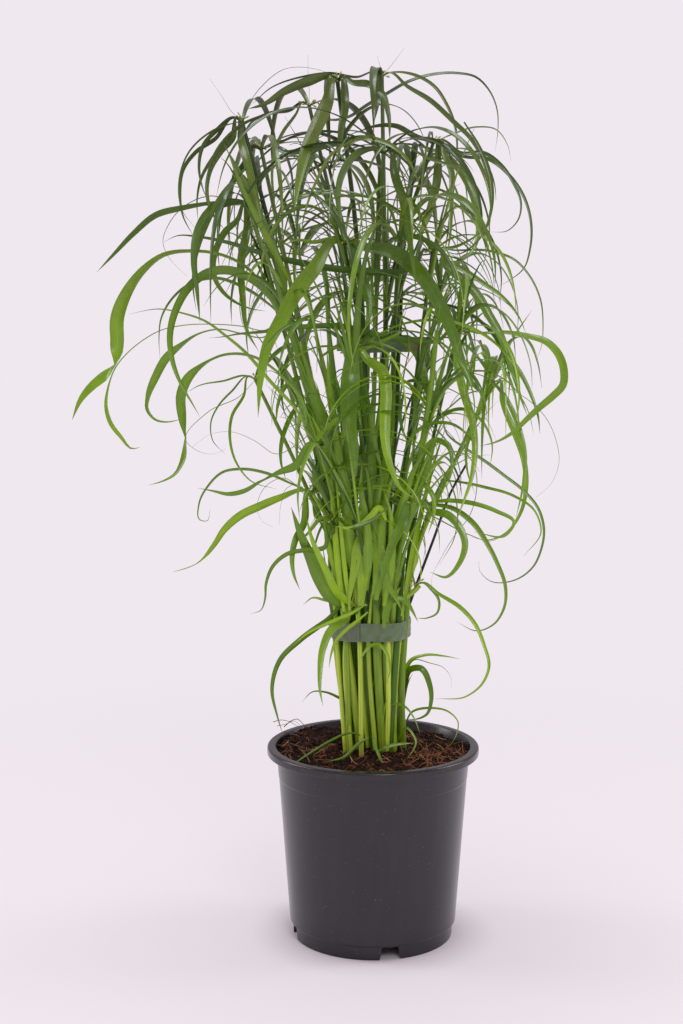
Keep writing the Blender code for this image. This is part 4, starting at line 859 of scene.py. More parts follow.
def arch(chance, heading, spread, lengths, widths, attempt, hub):
    """A blade that leaves a crown upwards, bends over and hangs: pitch(s) = rise - fall * s^power."""
    turn = heading + chance.normal(0.0, spread)
    length = chance.uniform(*lengths) * (1 - ARCH_SHORTER * attempt)
    rise = math.radians(chance.uniform(*ARCH_RISES))
    fall = math.radians(chance.uniform(*ARCH_FALLS))
    curl = chance.uniform(*ARCH_CURLS)
    twist = chance.uniform(*ARCH_TWISTS)
    width = chance.uniform(*widths)
    share = np.linspace(0.0, 1.0, ARCH_POINTS)
    pitch = rise - fall * share**ARCH_POWER
    yaw = turn + curl * share**2
    step = np.stack((np.cos(pitch) * np.cos(yaw), np.cos(pitch) * np.sin(yaw), np.sin(pitch)), axis=1)
    points = hub + np.vstack((np.zeros(3), np.cumsum(step[:-1], axis=0))) * length / (ARCH_POINTS - 1)
    side = np.array((-math.sin(turn), math.cos(turn), 0.0))
    return points, side, twist, width


def corners(node):
    """Distinct corner points of a CAD node, whose mesh is loose triangles."""
    work = bmesh.new()
    work.from_mesh(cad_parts[node].data)
    bmesh.ops.remove_doubles(work, verts=work.verts, dist=JOIN)
    points = np.array([vertex.co[:] for vertex in work.verts])
    work.free()
    return points


def culm_rings(number):
    """Centres of a culm's rings, from the soil to the crown."""
    points = corners(f"culm_{number + 1:02d}")
    points = points[np.argsort(points[:, 2])]
    return points.reshape(-1, CULM_SIDES, 3).mean(axis=1)


def crown_centre(rings):
    """Middle of the swollen tip that stands on a culm's last ring."""
    return rings[-1] + unit(rings[-1] - rings[-2]) * np.mean(HUB_SHARES)


def blade_half(width, late=1.0):
    """Half width along a blade: (foot + gain * smoothstep(s / swell)) * (1 - s^taper) of half the width.

    Here s is the share of the length to the power of late.
    """
    place = np.linspace(0.0, 1.0, FINE) ** late
    swell = np.clip(place / BLADE_SWELL, 0.0, 1.0)
    share = BLADE_FOOT + BLADE_GAIN * swell * swell * (3 - 2 * swell)
    return share * (1 - place**BLADE_TAPER) * width / 2


def corners_met(course, width, points):
    """How many corners of a solid lie on the edges of a blade."""
    half = blade_half(width)[:, None]
    edge = np.vstack((course["path"] - course["across"] * half, course["path"] + course["across"] * half))
    gaps = np.linalg.norm(points[:, None, :] - edge[None, :, :], axis=2).min(axis=1)
    return int(np.sum(gaps < EDGE_FOUND))


def traced_blade(plan, spec, hub, points):
    """The course of a traced blade as it lies in the solid, found by its tip and then by its edges."""
    for attempt in range(DEPTH_TRIES):
        away = (attempt + 1) // 2 * (1 if attempt % 2 else -1)
        tip_depth = spec["tip"] + away * DEPTH_STEP
        tip = from_view(*spec["marks"][-1], tip_depth)
        if np.linalg.norm(points - tip, axis=1).min() < FOUND:
            routes = [traced_points(plan, spec, hub, tip_depth, bulge) for bulge in BULGES]
            met = [corners_met(blade_course(route, None, spec["turns"]), spec["width"], points)
                   for route in routes]
            return blade_course(routes[met.index(max(met))], None, spec["seen"] or spec["turns"])
    return None


def spare_blade(number, order, hub, points):
    """The course and width of an untraced blade: the draws are repeated until the tip is in the solid."""
    chance = np.random.default_rng(SEEDS["spares"] * number + order)
    away = hub - POT_AXIS
    heading = math.atan2(away[1], away[0]) + (order - SPARE_MIDDLE) * SPARE_TURN
    for attempt in range(SPARE_TRIES):
        sway = SPARE_SWAYS[0] + SPARE_SWAYS[1] * attempt
        route, side, twist, width = arch(chance, heading, sway, SPARE_LENGTHS, SPARE_WIDTHS, attempt, hub)
        if within_reach(route) and np.linalg.norm(points - route[-1], axis=1).min() < FOUND:
            return blade_course(route, side, (0.0, twist)), width
    return None


def ring_grid(centres, across, upward, offsets):
    """Grid of points round a path: centre + across * x + upward * y for each pair in offsets."""
    x, y = offsets[..., 0:1], offsets[..., 1:2]
    return centres[:, None, :] + across[:, None, :] * x + upward[:, None, :] * y


def strand(grid, across, tint, under=None):
    """One closed strand for a mesh: its grid of rings, and four values at each point for its material."""
    rows, sides = grid.shape[:2]
    values = np.empty((rows, sides, 4))
    values[..., 0] = across
    values[..., 1] = np.linspace(0.0, 1.0, rows)[:, None]
    values[..., 2] = tint
    values[..., 3] = 0.0 if under is None else under
    middle = grid[rows // 2]
    turn = np.cross(middle, np.roll(middle, -1, axis=0)).sum(axis=0)
    ahead = (grid[min(rows // 2 + 1, rows - 1)] - grid[max(rows // 2 - 1, 0)]).mean(axis=0)
    if np.dot(turn, ahead) < 0:
        return np.roll(grid[:, ::-1], 1, axis=1), np.roll(values[:, ::-1], 1, axis=1)
    return grid, values


def strand_faces(rows, sides):
    """Triangles of a closed strand, with its two ends folded flat across.

    The quads of the first half of a ring are cut along one diagonal and those of the other half along
    the opposite one, so that a thin blade's two faces twist alike and don't pass through each other.
    """
    row, side = (part.ravel() for part in np.meshgrid(np.arange(rows - 1), np.arange(sides), indexing="ij"))
    onward = (side + 1) % sides
    near, near_on = row * sides + side, row * sides + onward
    far, far_on = near + sides, near_on + sides
    first = side < sides // 2
    wall = np.vstack((np.stack((near, near_on, np.where(first, far_on, far)), axis=1),
                      np.stack((np.where(first, near, near_on), far_on, far), axis=1)))
    low = np.arange(sides // 2 - 1)
    fold = np.vstack((np.stack((low, low + 1, sides - 2 - low), axis=1),
                      np.stack((low, sides - 2 - low, sides - 1 - low), axis=1)))
    return np.vstack((wall, fold[:, ::-1], (rows - 1) * sides + fold))


def add_object(name, data):
    """An object of the scene that holds a mesh, a lamp or a camera."""
    item = bpy.data.objects.new(name, data)
    bpy.context.scene.collection.objects.link(item)
    return item


def add_mesh(name, points, faces):
    """A mesh object of the scene."""
    mesh = bpy.data.meshes.new(name)
    mesh.from_pydata(points, [], faces)
    return add_object(name, mesh)


def finish_piece(name, points, faces, values, material, smooth_angle, nodes):
    """Make the mesh object, store its values, smooth it below an angle, and hand it to the frame."""
    piece = add_mesh(name, points, faces)
    mesh = piece.data
    if values is not None:
        layer = mesh.attributes.new("skin", "FLOAT_COLOR", "POINT")
        layer.data.foreach_set("color", np.ascontiguousarray(values, np.float32).ravel())
    mesh.shade_smooth()
    mesh.set_sharp_from_angle(angle=math.radians(smooth_angle))
    mesh.materials.append(material)
    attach(piece, "root")
    if nodes:
        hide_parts(*nodes)
    return piece


def strand_piece(name, strands, material, smooth_angle, nodes):
    """One piece of many closed strands laid end to end in a mesh."""
    points, faces, values = [], [], []
    count = 0
    for grid, value in strands:
        rows, sides = grid.shape[:2]
        points.append(grid.reshape(-1, 3))
        values.append(value.reshape(-1, 4))
        faces.append(strand_faces(rows, sides) + count)
        count += rows * sides
    return finish_piece(name, np.vstack(points), np.vstack(faces), np.vstack(values), material,
                        smooth_angle, nodes)


def blade_strand(course, width, tint, crease, every=1, late=1.0):
    """A bract with a V across it: eight points round each row.

    With h the half width and c = crease * 2h, the upper side runs (h, 0), (h/2, -d), (0, -c), (-h/2, -d),
    (-h, 0), where d is the share HALF_DROP of c, and the lower side runs back a leaf's thickness below it.
    """
    half = np.maximum(blade_half(width, late), LEAF_EDGE)[::every]
    drop = half * 2 * crease
    thick = np.minimum(LEAF_THICKNESS, half * THICK_SHARE)
    zero = np.zeros_like(half)
    middle = -HALF_DROP * drop
    below = middle - HALF_THICK * thick
    x = np.stack((half, half / 2, zero, -half / 2, -half, -half / 2, zero, half / 2), axis=1)
    y = np.stack((zero, middle, -drop, middle, zero, below, -drop - thick, below), axis=1)
    path, side, upward = (course[key][::every] for key in ("path", "across", "upward"))
    grid = ring_grid(path, side, upward, np.stack((x, y), axis=2))
    share = 0.5 + np.array((0.5, 0.25, 0.0, -0.25, -0.5, -0.25, 0.0, 0.25)) * width / VEIN_SPAN
    under = np.array((0.5, 0.0, 0.0, 0.0, 0.5, 1.0, 1.0, 1.0))
    return strand(grid, share, tint, under)


def rod_strand(path, radii, sides, tint, flat=1.0, ribs=0.0):
    """A rod along a path: radius r(s) * (1 + ribs * cos 3a), squeezed by flat across one way."""
    ahead = unit(np.gradient(path, axis=0))
    across = unit(np.cross(ROD_GUIDE, ahead))
    upward = np.cross(ahead, across)
    angle = np.arange(sides) * math.tau / sides
    reach = np.asarray(radii)[:, None] * (1 + ribs * np.cos(3 * angle))
    offsets = np.stack((reach * np.cos(angle), flat * reach * np.sin(angle)), axis=2)
    return strand(ring_grid(path, across, upward, offsets), np.arange(sides) / sides, tint)


def add_node(tree, kind, inputs, out=0, stops=(), **settings):
    """Add a shader node and return one of its outputs.

    Inputs are linked to a socket or set to a value, a ramp gets its stops, and settings go by name.
    """
    node = tree.nodes.new("ShaderNode" + kind)
    for name, value in settings.items():
        setattr(node, name, value)
    for place, colour in stops[2:]:
        node.color_ramp.elements.new(place)
    for element, (place, colour) in zip(node.color_ramp.elements if stops else (), stops):
        element.position = place
        element.color = (*colour, 1.0)
    for key, value in inputs.items():
        if isinstance(value, bpy.types.NodeSocket):
            tree.links.new(value, node.inputs[key])
        elif node.inputs[key].type == "RGBA":
            node.inputs[key].default_value = (*value, 1.0)
        else:
            node.inputs[key].default_value = value
    return node.outputs[out]


def paint(tree, under, over, value, low, high, most, kind="MIX"):
    """Lay a colour over another: not at all where a value is low, and by the share most where it is high."""
    share = add_node(tree, "MapRange", {0: value, 1: low, 2: high, 4: most})
    return add_node(tree, "Mix", {0: share, 6: under, 7: over}, 2, data_type="RGBA", blend_type=kind)


def new_material(name, **constants):
    """A material with its shader's constants set; returns it and its tree."""
    material = bpy.data.materials.new(name)
    material.use_nodes = True
    shader = material.node_tree.nodes["Principled BSDF"]
    for key, value in constants.items():
        shader.inputs[key.replace("_", " ")].default_value = value
    return material, material.node_tree


def stored_values(tree):
    """The four values that strand stores at each point: across, along, tint and under."""
    skin = add_node(tree, "Attribute", {}, attribute_name="skin")
    shares = add_node(tree, "SeparateColor", {0: skin}).node.outputs
    return *shares[:3], skin.node.outputs["Alpha"]


def finish_material(material, colour, height=None, strength=0.0, distance=0.0, dullness=None):
    """Link a material's colour and, where they are given, a height that bumps it and its dullness."""
    tree = material.node_tree
    shader = tree.nodes["Principled BSDF"]
    tree.links.new(colour, shader.inputs["Base Color"])
    if dullness:
        tree.links.new(dullness, shader.inputs["Roughness"])
    if height:
        bump = add_node(tree, "Bump", {"Height": height, "Strength": strength, "Distance": distance})
        tree.links.new(bump, shader.inputs["Normal"])
    return material


def bract_skin(settings):
    """Living sedge leaf, waxy above and dull below: parallel veins, a pale midrib, a drier tip."""
    material, tree = new_material("sedge bract, waxy living leaf", Roughness=0.3, IOR=1.55)
    across, along, tint, under = stored_values(tree)
    place = add_node(tree, "TexCoord", {}, "Object")
    height = add_node(tree, "SeparateXYZ", {0: place}, "Z")
    climb = add_node(tree, "MapRange", {0: height, 1: LEAF_FOOT, 2: LEAF_TOP})
    colour = add_node(tree, "ValToRGB", {0: climb}, stops=(
        (0.0, linear(settings.low_green)), (0.55, linear(settings.mid_green)),
        (0.9, linear(settings.high_green))))
    # Each leaf is lighter and yellower, or darker and bluer, than the next; the darkest leaves also stand in
    # for shade deep in the clump, as painted shade
    colour = paint(tree, colour, (1.62, 1.42, 1.1), tint, 0.5, 1.0, 1.0, "MULTIPLY")
    colour = paint(tree, colour, (0.38, 0.48, 0.52), tint, 0.5, 0.0, 1.0, "MULTIPLY")
    # Cloudy patches along the leaf, as living tissue is never one green
    mottle = add_node(tree, "TexNoise", {"Vector": place, "Scale": 1 / (14 * MM), "Detail": 3.0})
    colour = paint(tree, colour, (1.4, 1.3, 1.0), mottle, 0.35, 0.7, 0.7, "MULTIPLY")
    # Parallel veins as fine darker lines, and the midrib as a pale one
    turns = add_node(tree, "Math", {0: across, 1: VEINS * math.tau}, operation="MULTIPLY")
    vein = add_node(tree, "Math", {0: turns}, operation="SINE")
    colour = paint(tree, colour, (0.6, 0.66, 0.7), vein, -1.0, 1.0, 0.55, "MULTIPLY")
    offset = add_node(tree, "Math", {0: across, 1: 0.5}, operation="SUBTRACT")
    aside = add_node(tree, "Math", {0: offset}, operation="ABSOLUTE")
    colour = paint(tree, colour, (1.5, 1.4, 1.2), aside, 0.06, 0.0, 0.6, "MULTIPLY")
    # The underside is paler and duller
    colour = paint(tree, colour, (1.15, 1.15, 1.3), under, 0.5, 1.0, 1.0, "MULTIPLY")
    # The tip dries to straw
    colour = paint(tree, colour, linear("#7f7a33"), along, 0.93, 1.0, 0.7)
    # Wax worn in patches: glossy and duller places side by side
    wax = add_node(tree, "TexNoise", {"Vector": place, "Scale": 1 / (9 * MM)})
    dull = add_node(tree, "MapRange", {0: wax, 1: 0.35, 2: 0.65, 3: 0.17, 4: 0.33})
    dull = add_node(tree, "Math", {0: under, 1: 0.2, 2: dull}, operation="MULTIPLY_ADD")
    return finish_material(material, colour, vein, 0.12, 0.06 * MM, dull)


def culm_skin(settings):
    """Living sedge stem in its leaf sheaths, smooth and softly ribbed: pale at the foot, dark at the top."""
    material, tree = new_material("sedge culm, smooth living stem", Roughness=0.34, IOR=1.46)
    around, _, tint, _ = stored_values(tree)
    place = add_node(tree, "TexCoord", {}, "Object")
    height = add_node(tree, "SeparateXYZ", {0: place}, "Z")
    climb = add_node(tree, "MapRange", {0: height, 1: STEM_FOOT, 2: STEM_TOP})
    colour = add_node(tree, "ValToRGB", {0: climb}, stops=(
        (0.0, linear(settings.foot_green)), (0.4, linear(settings.mid_green)),
        (1.0, linear(settings.top_green))))
    # Old sheaths are yellow, young ones deep green; the contrast is widened past that, so pale culms also
    # stand in for painted highlights and deep green ones for painted shade in the gaps between culms
    colour = paint(tree, colour, (2.4, 1.9, 4.4), tint, 0.5, 1.0, 1.0, "MULTIPLY")
    colour = paint(tree, colour, (0.27, 0.42, 0.3), tint, 0.5, 0.0, 1.0, "MULTIPLY")
    # Ribs run up the stem, with long pale streaks between them
    turns = add_node(tree, "Math", {0: around, 1: CULM_RIBS * math.tau}, operation="MULTIPLY")
    rib = add_node(tree, "Math", {0: turns}, operation="SINE")
    colour = paint(tree, colour, (0.55, 0.65, 0.6), rib, -1.0, 1.0, 0.5, "MULTIPLY")
    drawn = add_node(tree, "Mapping", {"Vector": place, "Scale": (1.0, 1.0, 0.08)})
    streak = add_node(tree, "TexNoise", {"Vector": drawn, "Scale": 1 / (2.5 * MM)})
    colour = paint(tree, colour, (1.5, 1.3, 1.2), streak, 0.35, 0.7, 0.8, "MULTIPLY")
    # Damp soil stains the last millimetres
    colour = paint(tree, colour, linear("#4a3a20"), height, *STAIN_HEIGHTS, 0.6)
    return finish_material(material, colour, rib, 0.2, 0.1 * MM)


def tuft_skin():
    """Young spikelets, dry and papery: pale straw green with brown-edged scales."""
    material, tree = new_material("spikelets, papery scales", Roughness=0.6)
    _, along, tint, _ = stored_values(tree)
    colour = paint(tree, linear("#a9ad62"), linear("#c3c083"), tint, 0.0, 1.0, 1.0)
    turns = add_node(tree, "Math", {0: along, 1: SPIKELET_SCALES}, operation="MULTIPLY")
    scales = add_node(tree, "Math", {0: turns}, operation="SINE")
    colour = paint(tree, colour, linear("#7d6a35"), scales, 0.2, 1.0, 0.4)
    return finish_material(material, colour)


def pot_plastic(settings):
    """Recycled polypropylene, injection moulded: dark violet grey and satin, scuffed, dusty and smeared."""
    material, tree = new_material("polypropylene, moulded and satin", Roughness=0.28, IOR=1.58)
    place = add_node(tree, "TexCoord", {}, "Object")
    height = add_node(tree, "SeparateXYZ", {0: place}, "Z")
    # Recycled stock is never mixed quite evenly
    cloud = add_node(tree, "TexNoise", {"Vector": place, "Scale": 1 / (45 * MM), "Detail": 3.0})
    colour = paint(tree, linear(settings.dark), linear(settings.light), cloud, 0.3, 0.7, 1.0)
    # Faint runs down the wall, where water dried
    drawn = add_node(tree, "Mapping", {"Vector": place, "Scale": (1.0, 1.0, 0.12)})
    run = add_node(tree, "TexNoise", {"Vector": drawn, "Scale": 1 / (9 * MM), "Detail": 4.0})
    colour = paint(tree, colour, linear("#4c474c"), run, 0.5, 0.75, 0.1)
    # Dust as single specks, and soil smeared below the rim
    dust = add_node(tree, "TexNoise", {"Vector": place, "Scale": 1 / (1.6 * MM), "Roughness": 0.7})
    colour = paint(tree, colour, linear("#a49aa0"), dust, 0.71, 0.76, 0.7)
    grime = add_node(tree, "TexNoise", {"Vector": place, "Scale": 1 / (13 * MM), "Detail": 4.0,
                                        "Roughness": 0.7})
    near_rim = add_node(tree, "MapRange", {0: height, 1: SMEAR_HEIGHTS[0], 2: SMEAR_HEIGHTS[1], 4: 0.35})
    stain = add_node(tree, "Math", {0: near_rim, 1: grime}, operation="MULTIPLY")
    colour = paint(tree, colour, linear("#4b3a30"), stain, 0.17, 0.24, 0.5)
    dull = add_node(tree, "MapRange", {0: run, 1: 0.35, 2: 0.7, 3: 0.2, 4: 0.26})
    # The moulded wall has a fine grain
    grain = add_node(tree, "TexNoise", {"Vector": place, "Scale": 1 / (0.9 * MM)})
    return finish_material(material, colour, grain, 0.05, 0.2 * MM, dull)


def peat_earth(settings):
    """Damp peat, loose and crumbly: near-black brown lumps with redder fibres between them."""
    material, tree = new_material("peat, damp and crumbled", Roughness=0.9, Specular_IOR_Level=0.15)
    place = add_node(tree, "TexCoord", {}, "Object")
    clods = add_node(tree, "TexNoise", {"Vector": place, "Scale": 1 / (5 * MM), "Detail": 5.0,
                                        "Roughness": 0.7})
    colour = add_node(tree, "ValToRGB", {0: clods}, stops=(
        (0.3, linear(settings.dark)), (0.52, linear(settings.brown)), (0.72, linear(settings.red))))
    # Painted shade: darker rings in the gaps round the single grains
    grains = add_node(tree, "TexVoronoi", {"Vector": place, "Scale": 1 / (2.2 * MM)}, "Distance")
    colour = paint(tree, colour, linear("#120c0a"), grains, 0.0, 0.6, 0.5)
    return finish_material(material, colour, clods, 0.7, 1.2 * MM)


def crumb_earth(settings):
    """Single crumbs of peat and bark, damp and rough: each its own brown, some rusty."""
    material, tree = new_material("peat crumbs, damp and rough", Roughness=0.85, Specular_IOR_Level=0.2)
    tint = stored_values(tree)[2]
    colour = add_node(tree, "ValToRGB", {0: tint}, stops=(
        (0.0, linear("#130d0b")), (0.6, linear(settings.brown)), (0.86, linear(settings.red)),
        (1.0, linear("#6e3328"))))
    place = add_node(tree, "TexCoord", {}, "Object")
    speck = add_node(tree, "TexNoise", {"Vector": place, "Scale": 1 / (1.2 * MM), "Detail": 3.0,
                                        "Roughness": 0.7})
    colour = paint(tree, colour, linear("#0f0a08"), speck, 0.4, 0.7, 0.5)
    return finish_material(material, colour, speck, 0.5, 0.5 * MM)


def coir_strand(settings):
    """Coir and root fibres, dry and wiry: fox-brown to straw, darker in streaks."""
    material, tree = new_material("coir fibres, dry and wiry", Roughness=0.62)
    tint = stored_values(tree)[2]
    colour = add_node(tree, "ValToRGB", {0: tint}, stops=(
        (0.0, linear("#341c13")), (0.45, linear(settings.fibre)), (0.8, linear("#a5673c")),
        (1.0, linear("#c29a6a"))))
    place = add_node(tree, "TexCoord", {}, "Object")
    streak = add_node(tree, "TexNoise", {"Vector": place, "Scale": 1 / (3 * MM)})
    colour = paint(tree, colour, linear("#2a1610"), streak, 0.4, 0.7, 0.5)
    return finish_material(material, colour)


def tape_film(settings):
    """Stretch tape of soft plastic, calendered: grey green, duller where drawn tight, pale at its edges."""
    material, tree = new_material("soft plastic tape, calendered", Roughness=0.34, IOR=1.5)
    across, _, tint, _ = stored_values(tree)
    place = add_node(tree, "TexCoord", {}, "Object")
    cloud = add_node(tree, "TexNoise", {"Vector": place, "Scale": 1 / (9 * MM), "Detail": 3.0})
    colour = paint(tree, linear(settings.dark), linear(settings.light), cloud, 0.3, 0.7, 1.0)
    # The left of the wound band is greyer, where two layers lie on each other
    side = add_node(tree, "SeparateXYZ", {0: place}, "X")
    colour = paint(tree, colour, linear(settings.doubled), side, POT_AXIS[0] + TAPE_SEAM,
                   POT_AXIS[0] + TAPE_SEAM - TAPE_BLEND, 1.0)
    # The loose end has yellowed
    colour = paint(tree, colour, linear("#94906a"), tint, 0.6, 1.0, 1.0)
    offset = add_node(tree, "Math", {0: across, 1: 0.5}, operation="SUBTRACT")
    aside = add_node(tree, "Math", {0: offset}, operation="ABSOLUTE")
    colour = paint(tree, colour, linear("#93a090"), aside, 0.46, 0.5, 0.35)
    pull = add_node(tree, "Mapping", {"Vector": place, "Scale": (0.5, 0.5, 2.5)})
    folds = add_node(tree, "TexNoise", {"Vector": pull, "Scale": 1 / (4 * MM)})
    return finish_material(material, colour, folds, 0.35, 0.5 * MM)


def old_wood():
    """A dead, weathered culm: nearly black, dull, with a grey bloom."""
    material, tree = new_material("dead culm, weathered", Roughness=0.7)
    place = add_node(tree, "TexCoord", {}, "Object")
    bloom = add_node(tree, "TexNoise", {"Vector": place, "Scale": 1 / (4 * MM), "Detail": 3.0})
    colour = paint(tree, linear("#1c1a17"), linear("#4a463d"), bloom, 0.45, 0.75, 0.6)
    return finish_material(material, colour)


def studio_floor(world, floor):
    """Matt studio paper that passes into the backdrop's own light with distance, so no edge shows; beside the
    pot part of it glows, painted light that lifts the cast shadows.
    """
    material, tree = new_material("studio paper, matt", Roughness=0.85, Specular_IOR_Level=0.2)
    shader = tree.nodes["Principled BSDF"]
    shader.inputs["Base Color"].default_value = (*floor, 1.0)
    place = add_node(tree, "TexCoord", {}, "Object")
    away = add_node(tree, "VectorMath", {0: place, 1: tuple(POT_AXIS)}, "Value", operation="DISTANCE")
    glow = add_node(tree, "Emission", {"Color": world, "Strength": 1.0})
    # No glow under the pot, so its own shadow stays; beside it a share glows, painted light that lifts the
    # cast shadows; far off only the backdrop's light
    beside = add_node(tree, "MapRange", {0: away, 1: BODY_FOOT_RADIUS,
                                         2: FLOOR_LIFTED * BODY_FOOT_RADIUS, 4: FLOOR_PAINTED_LIGHT})
    far = add_node(tree, "MapRange", {0: away, 1: FLOOR_CLEAR, 2: FLOOR_FADE, 4: 1.0 - FLOOR_PAINTED_LIGHT})
    share = add_node(tree, "Math", {0: beside, 1: far}, operation="ADD")
    mixed = add_node(tree, "MixShader", {0: share, 1: shader.outputs[0], 2: glow})
    tree.links.new(mixed, tree.nodes["Material Output"].inputs["Surface"])
    return material


def studio_air(world):
    """The backdrop's even light: full to the camera, and a share of it on the plant."""
    air = bpy.data.worlds.new("studio")
    air.use_nodes = True
    tree = air.node_tree
    seen = add_node(tree, "LightPath", {}, "Is Camera Ray")
    strength = add_node(tree, "MapRange", {0: seen, 3: AIR_SHARE, 4: 1.0})
    tree.nodes["Background"].inputs["Color"].default_value = (*world, 1.0)
    tree.links.new(strength, tree.nodes["Background"].inputs["Strength"])
    return air


def rounded(profile, radius):
    """A profile with each inner corner replaced by a curve: (1-t)^2 a + 2t(1-t) corner + t^2 b."""
    profile = np.asarray(profile, float)
    before, corner, after = profile[:-2], profile[1:-1], profile[2:]
    back, on = before - corner, after - corner
    back_length = np.linalg.norm(back, axis=1, keepdims=True)
    on_length = np.linalg.norm(on, axis=1, keepdims=True)
    start = corner + back * np.minimum(radius / back_length, CURVE_MOST)
    end = corner + on * np.minimum(radius / on_length, CURVE_MOST)
    share = np.linspace(0.0, 1.0, CURVE_POINTS)[None, :, None]
    curve = ((1 - share) ** 2 * start[:, None] + 2 * share * (1 - share) * corner[:, None]
             + share**2 * end[:, None])
    return np.vstack((profile[:1], curve.reshape(-1, 2), profile[-1:]))


def wall_radius(height):
    """Radius of the pot's inner wall at a height."""
    share = (height - STEP_HEIGHT) / (POT_HEIGHT - RIM_SKIRT - STEP_HEIGHT)
    return BODY_FOOT_RADIUS + (BODY_TOP_RADIUS - BODY_FOOT_RADIUS) * share - WALL


def pot_profile(collar):
    """The pot's section: under the floor, round the foot, up to a collar line, round the rim, down inside."""
    under_rim = POT_HEIGHT - RIM_SKIRT
    outer = wall_radius(collar) + WALL
    return np.array((
        (0.0, FLOOR_UNDER),
        (FOOT_RADIUS - FOOT_RING, FLOOR_UNDER),
        (FOOT_RADIUS - FOOT_RING, 0.0),
        (FOOT_RADIUS, 0.0),
        (FOOT_RADIUS + FOOT_FLARE, STEP_HEIGHT - FOOT_BEVEL),
        (BODY_FOOT_RADIUS, STEP_HEIGHT),
        (outer - COLLAR_STEP, collar - COLLAR_STEP),
        (outer, collar + COLLAR_STEP),
        (BODY_TOP_RADIUS, under_rim),
        (MOUTH_RADIUS + WALL, POT_HEIGHT - 2 * WALL),
        (RIM_RADIUS - WALL, POT_HEIGHT - 2 * WALL),
        (RIM_RADIUS - WALL, under_rim),
        (RIM_RADIUS, under_rim),
        (RIM_RADIUS, POT_HEIGHT - RIM_ROUND),
        (RIM_RADIUS - RIM_ROUND, POT_HEIGHT),
        (MOUTH_RADIUS, POT_HEIGHT),
        (wall_radius(under_rim), under_rim - WALL),
        (wall_radius(STEP_HEIGHT + WALL), STEP_HEIGHT + WALL),
        (0.0, STEP_HEIGHT + WALL),
    ))


def turned(profile, angle, heights=None):
    """Closed mesh of a profile turned round the pot's axis, its two end points on the axis kept single."""
    radius, height = profile[1:-1, 0][:, None], profile[1:-1, 1][:, None]
    height = np.broadcast_to(height, (len(profile) - 2, len(angle))) if heights is None else heights
    grid = np.stack((radius * np.cos(angle), radius * np.sin(angle), height), axis=2)
    rows, sides = grid.shape[:2]
    row, side = (part.ravel() for part in np.meshgrid(np.arange(rows - 1), np.arange(sides), indexing="ij"))
    onward = (side + 1) % sides
    walls = np.stack((row * sides + side, row * sides + onward, (row + 1) * sides + onward,
                      (row + 1) * sides + side), axis=1)
    ring = np.arange(sides)
    around = np.roll(ring, -1)
    first, last = rows * sides, rows * sides + 1
    start = np.stack((np.full(sides, first), around, ring), axis=1)
    end = np.stack((np.full(sides, last), (rows - 1) * sides + ring, (rows - 1) * sides + around), axis=1)
    points = np.vstack((grid.reshape(-1, 3), ((0.0, 0.0, profile[0, 1]),), ((0.0, 0.0, profile[-1, 1]),)))
    return points + POT_AXIS, walls.tolist() + start.tolist() + end.tolist()


def notch_height(angle):
    """How high the foot ring is cut away: NOTCH_HEIGHT in four tapered notches, 0 between them."""
    spacing = math.tau / NOTCH_COUNT
    offset = np.abs((angle - math.radians(NOTCH_FIRST) + spacing / 2) % spacing - spacing / 2)
    wide, narrow = NOTCH_FOOT / 2 / FOOT_RADIUS, NOTCH_TOP / 2 / FOOT_RADIUS
    return NOTCH_HEIGHT * np.clip((wide - offset) / (wide - narrow), 0.0, 1.0)


def notch_angles():
    """Angles round the foot: an even set, and the edges of each notch."""
    wide, narrow = NOTCH_FOOT / 2 / FOOT_RADIUS, NOTCH_TOP / 2 / FOOT_RADIUS
    middles = math.radians(NOTCH_FIRST) + np.arange(NOTCH_COUNT) * math.tau / NOTCH_COUNT
    edges = (middles[:, None] + np.array((-wide, -narrow, narrow, wide))).ravel() % math.tau
    even = np.arange(POT_TURNS) * math.tau / POT_TURNS
    gaps = np.abs((even[:, None] - edges + math.pi) % math.tau - math.pi).min(axis=1)
    return np.sort(np.concatenate((even[gaps > math.tau / POT_TURNS / NOTCH_NEAR], edges)))


def soil_height(x, y):
    """Height of the soil from the pot's axis: level, two heaps, a tilt and long lumps, as in the solid."""
    clump = CLUMP_HEAP * np.exp(-(x * x + y * y) / CLUMP_HEAP_SPREAD**2)
    heap = BACK_HEAP * np.exp(-((x - BACK_HEAP_X) ** 2 + (y - BACK_HEAP_Y) ** 2) / BACK_HEAP_SPREAD**2)
    tilt = SOIL_TILT * (x + y) / BODY_TOP_RADIUS
    wide, deep, slanting = SOIL_WAVES
    waves = np.sin(x / wide + SOIL_PHASE) * np.cos(y / deep) + np.sin((x - y) / slanting)
    return SOIL_LEVEL + clump + heap + tilt + SOIL_LUMP * waves


def fine_soil(x, y):
    """The solid's soil with hollows and clods of three sizes on it."""
    places = np.stack((x, y), axis=-1)
    rough = sum(height * wander(places, length * MM, seed) for height, length, seed in CLODS) * MM
    return soil_height(x, y) + rough


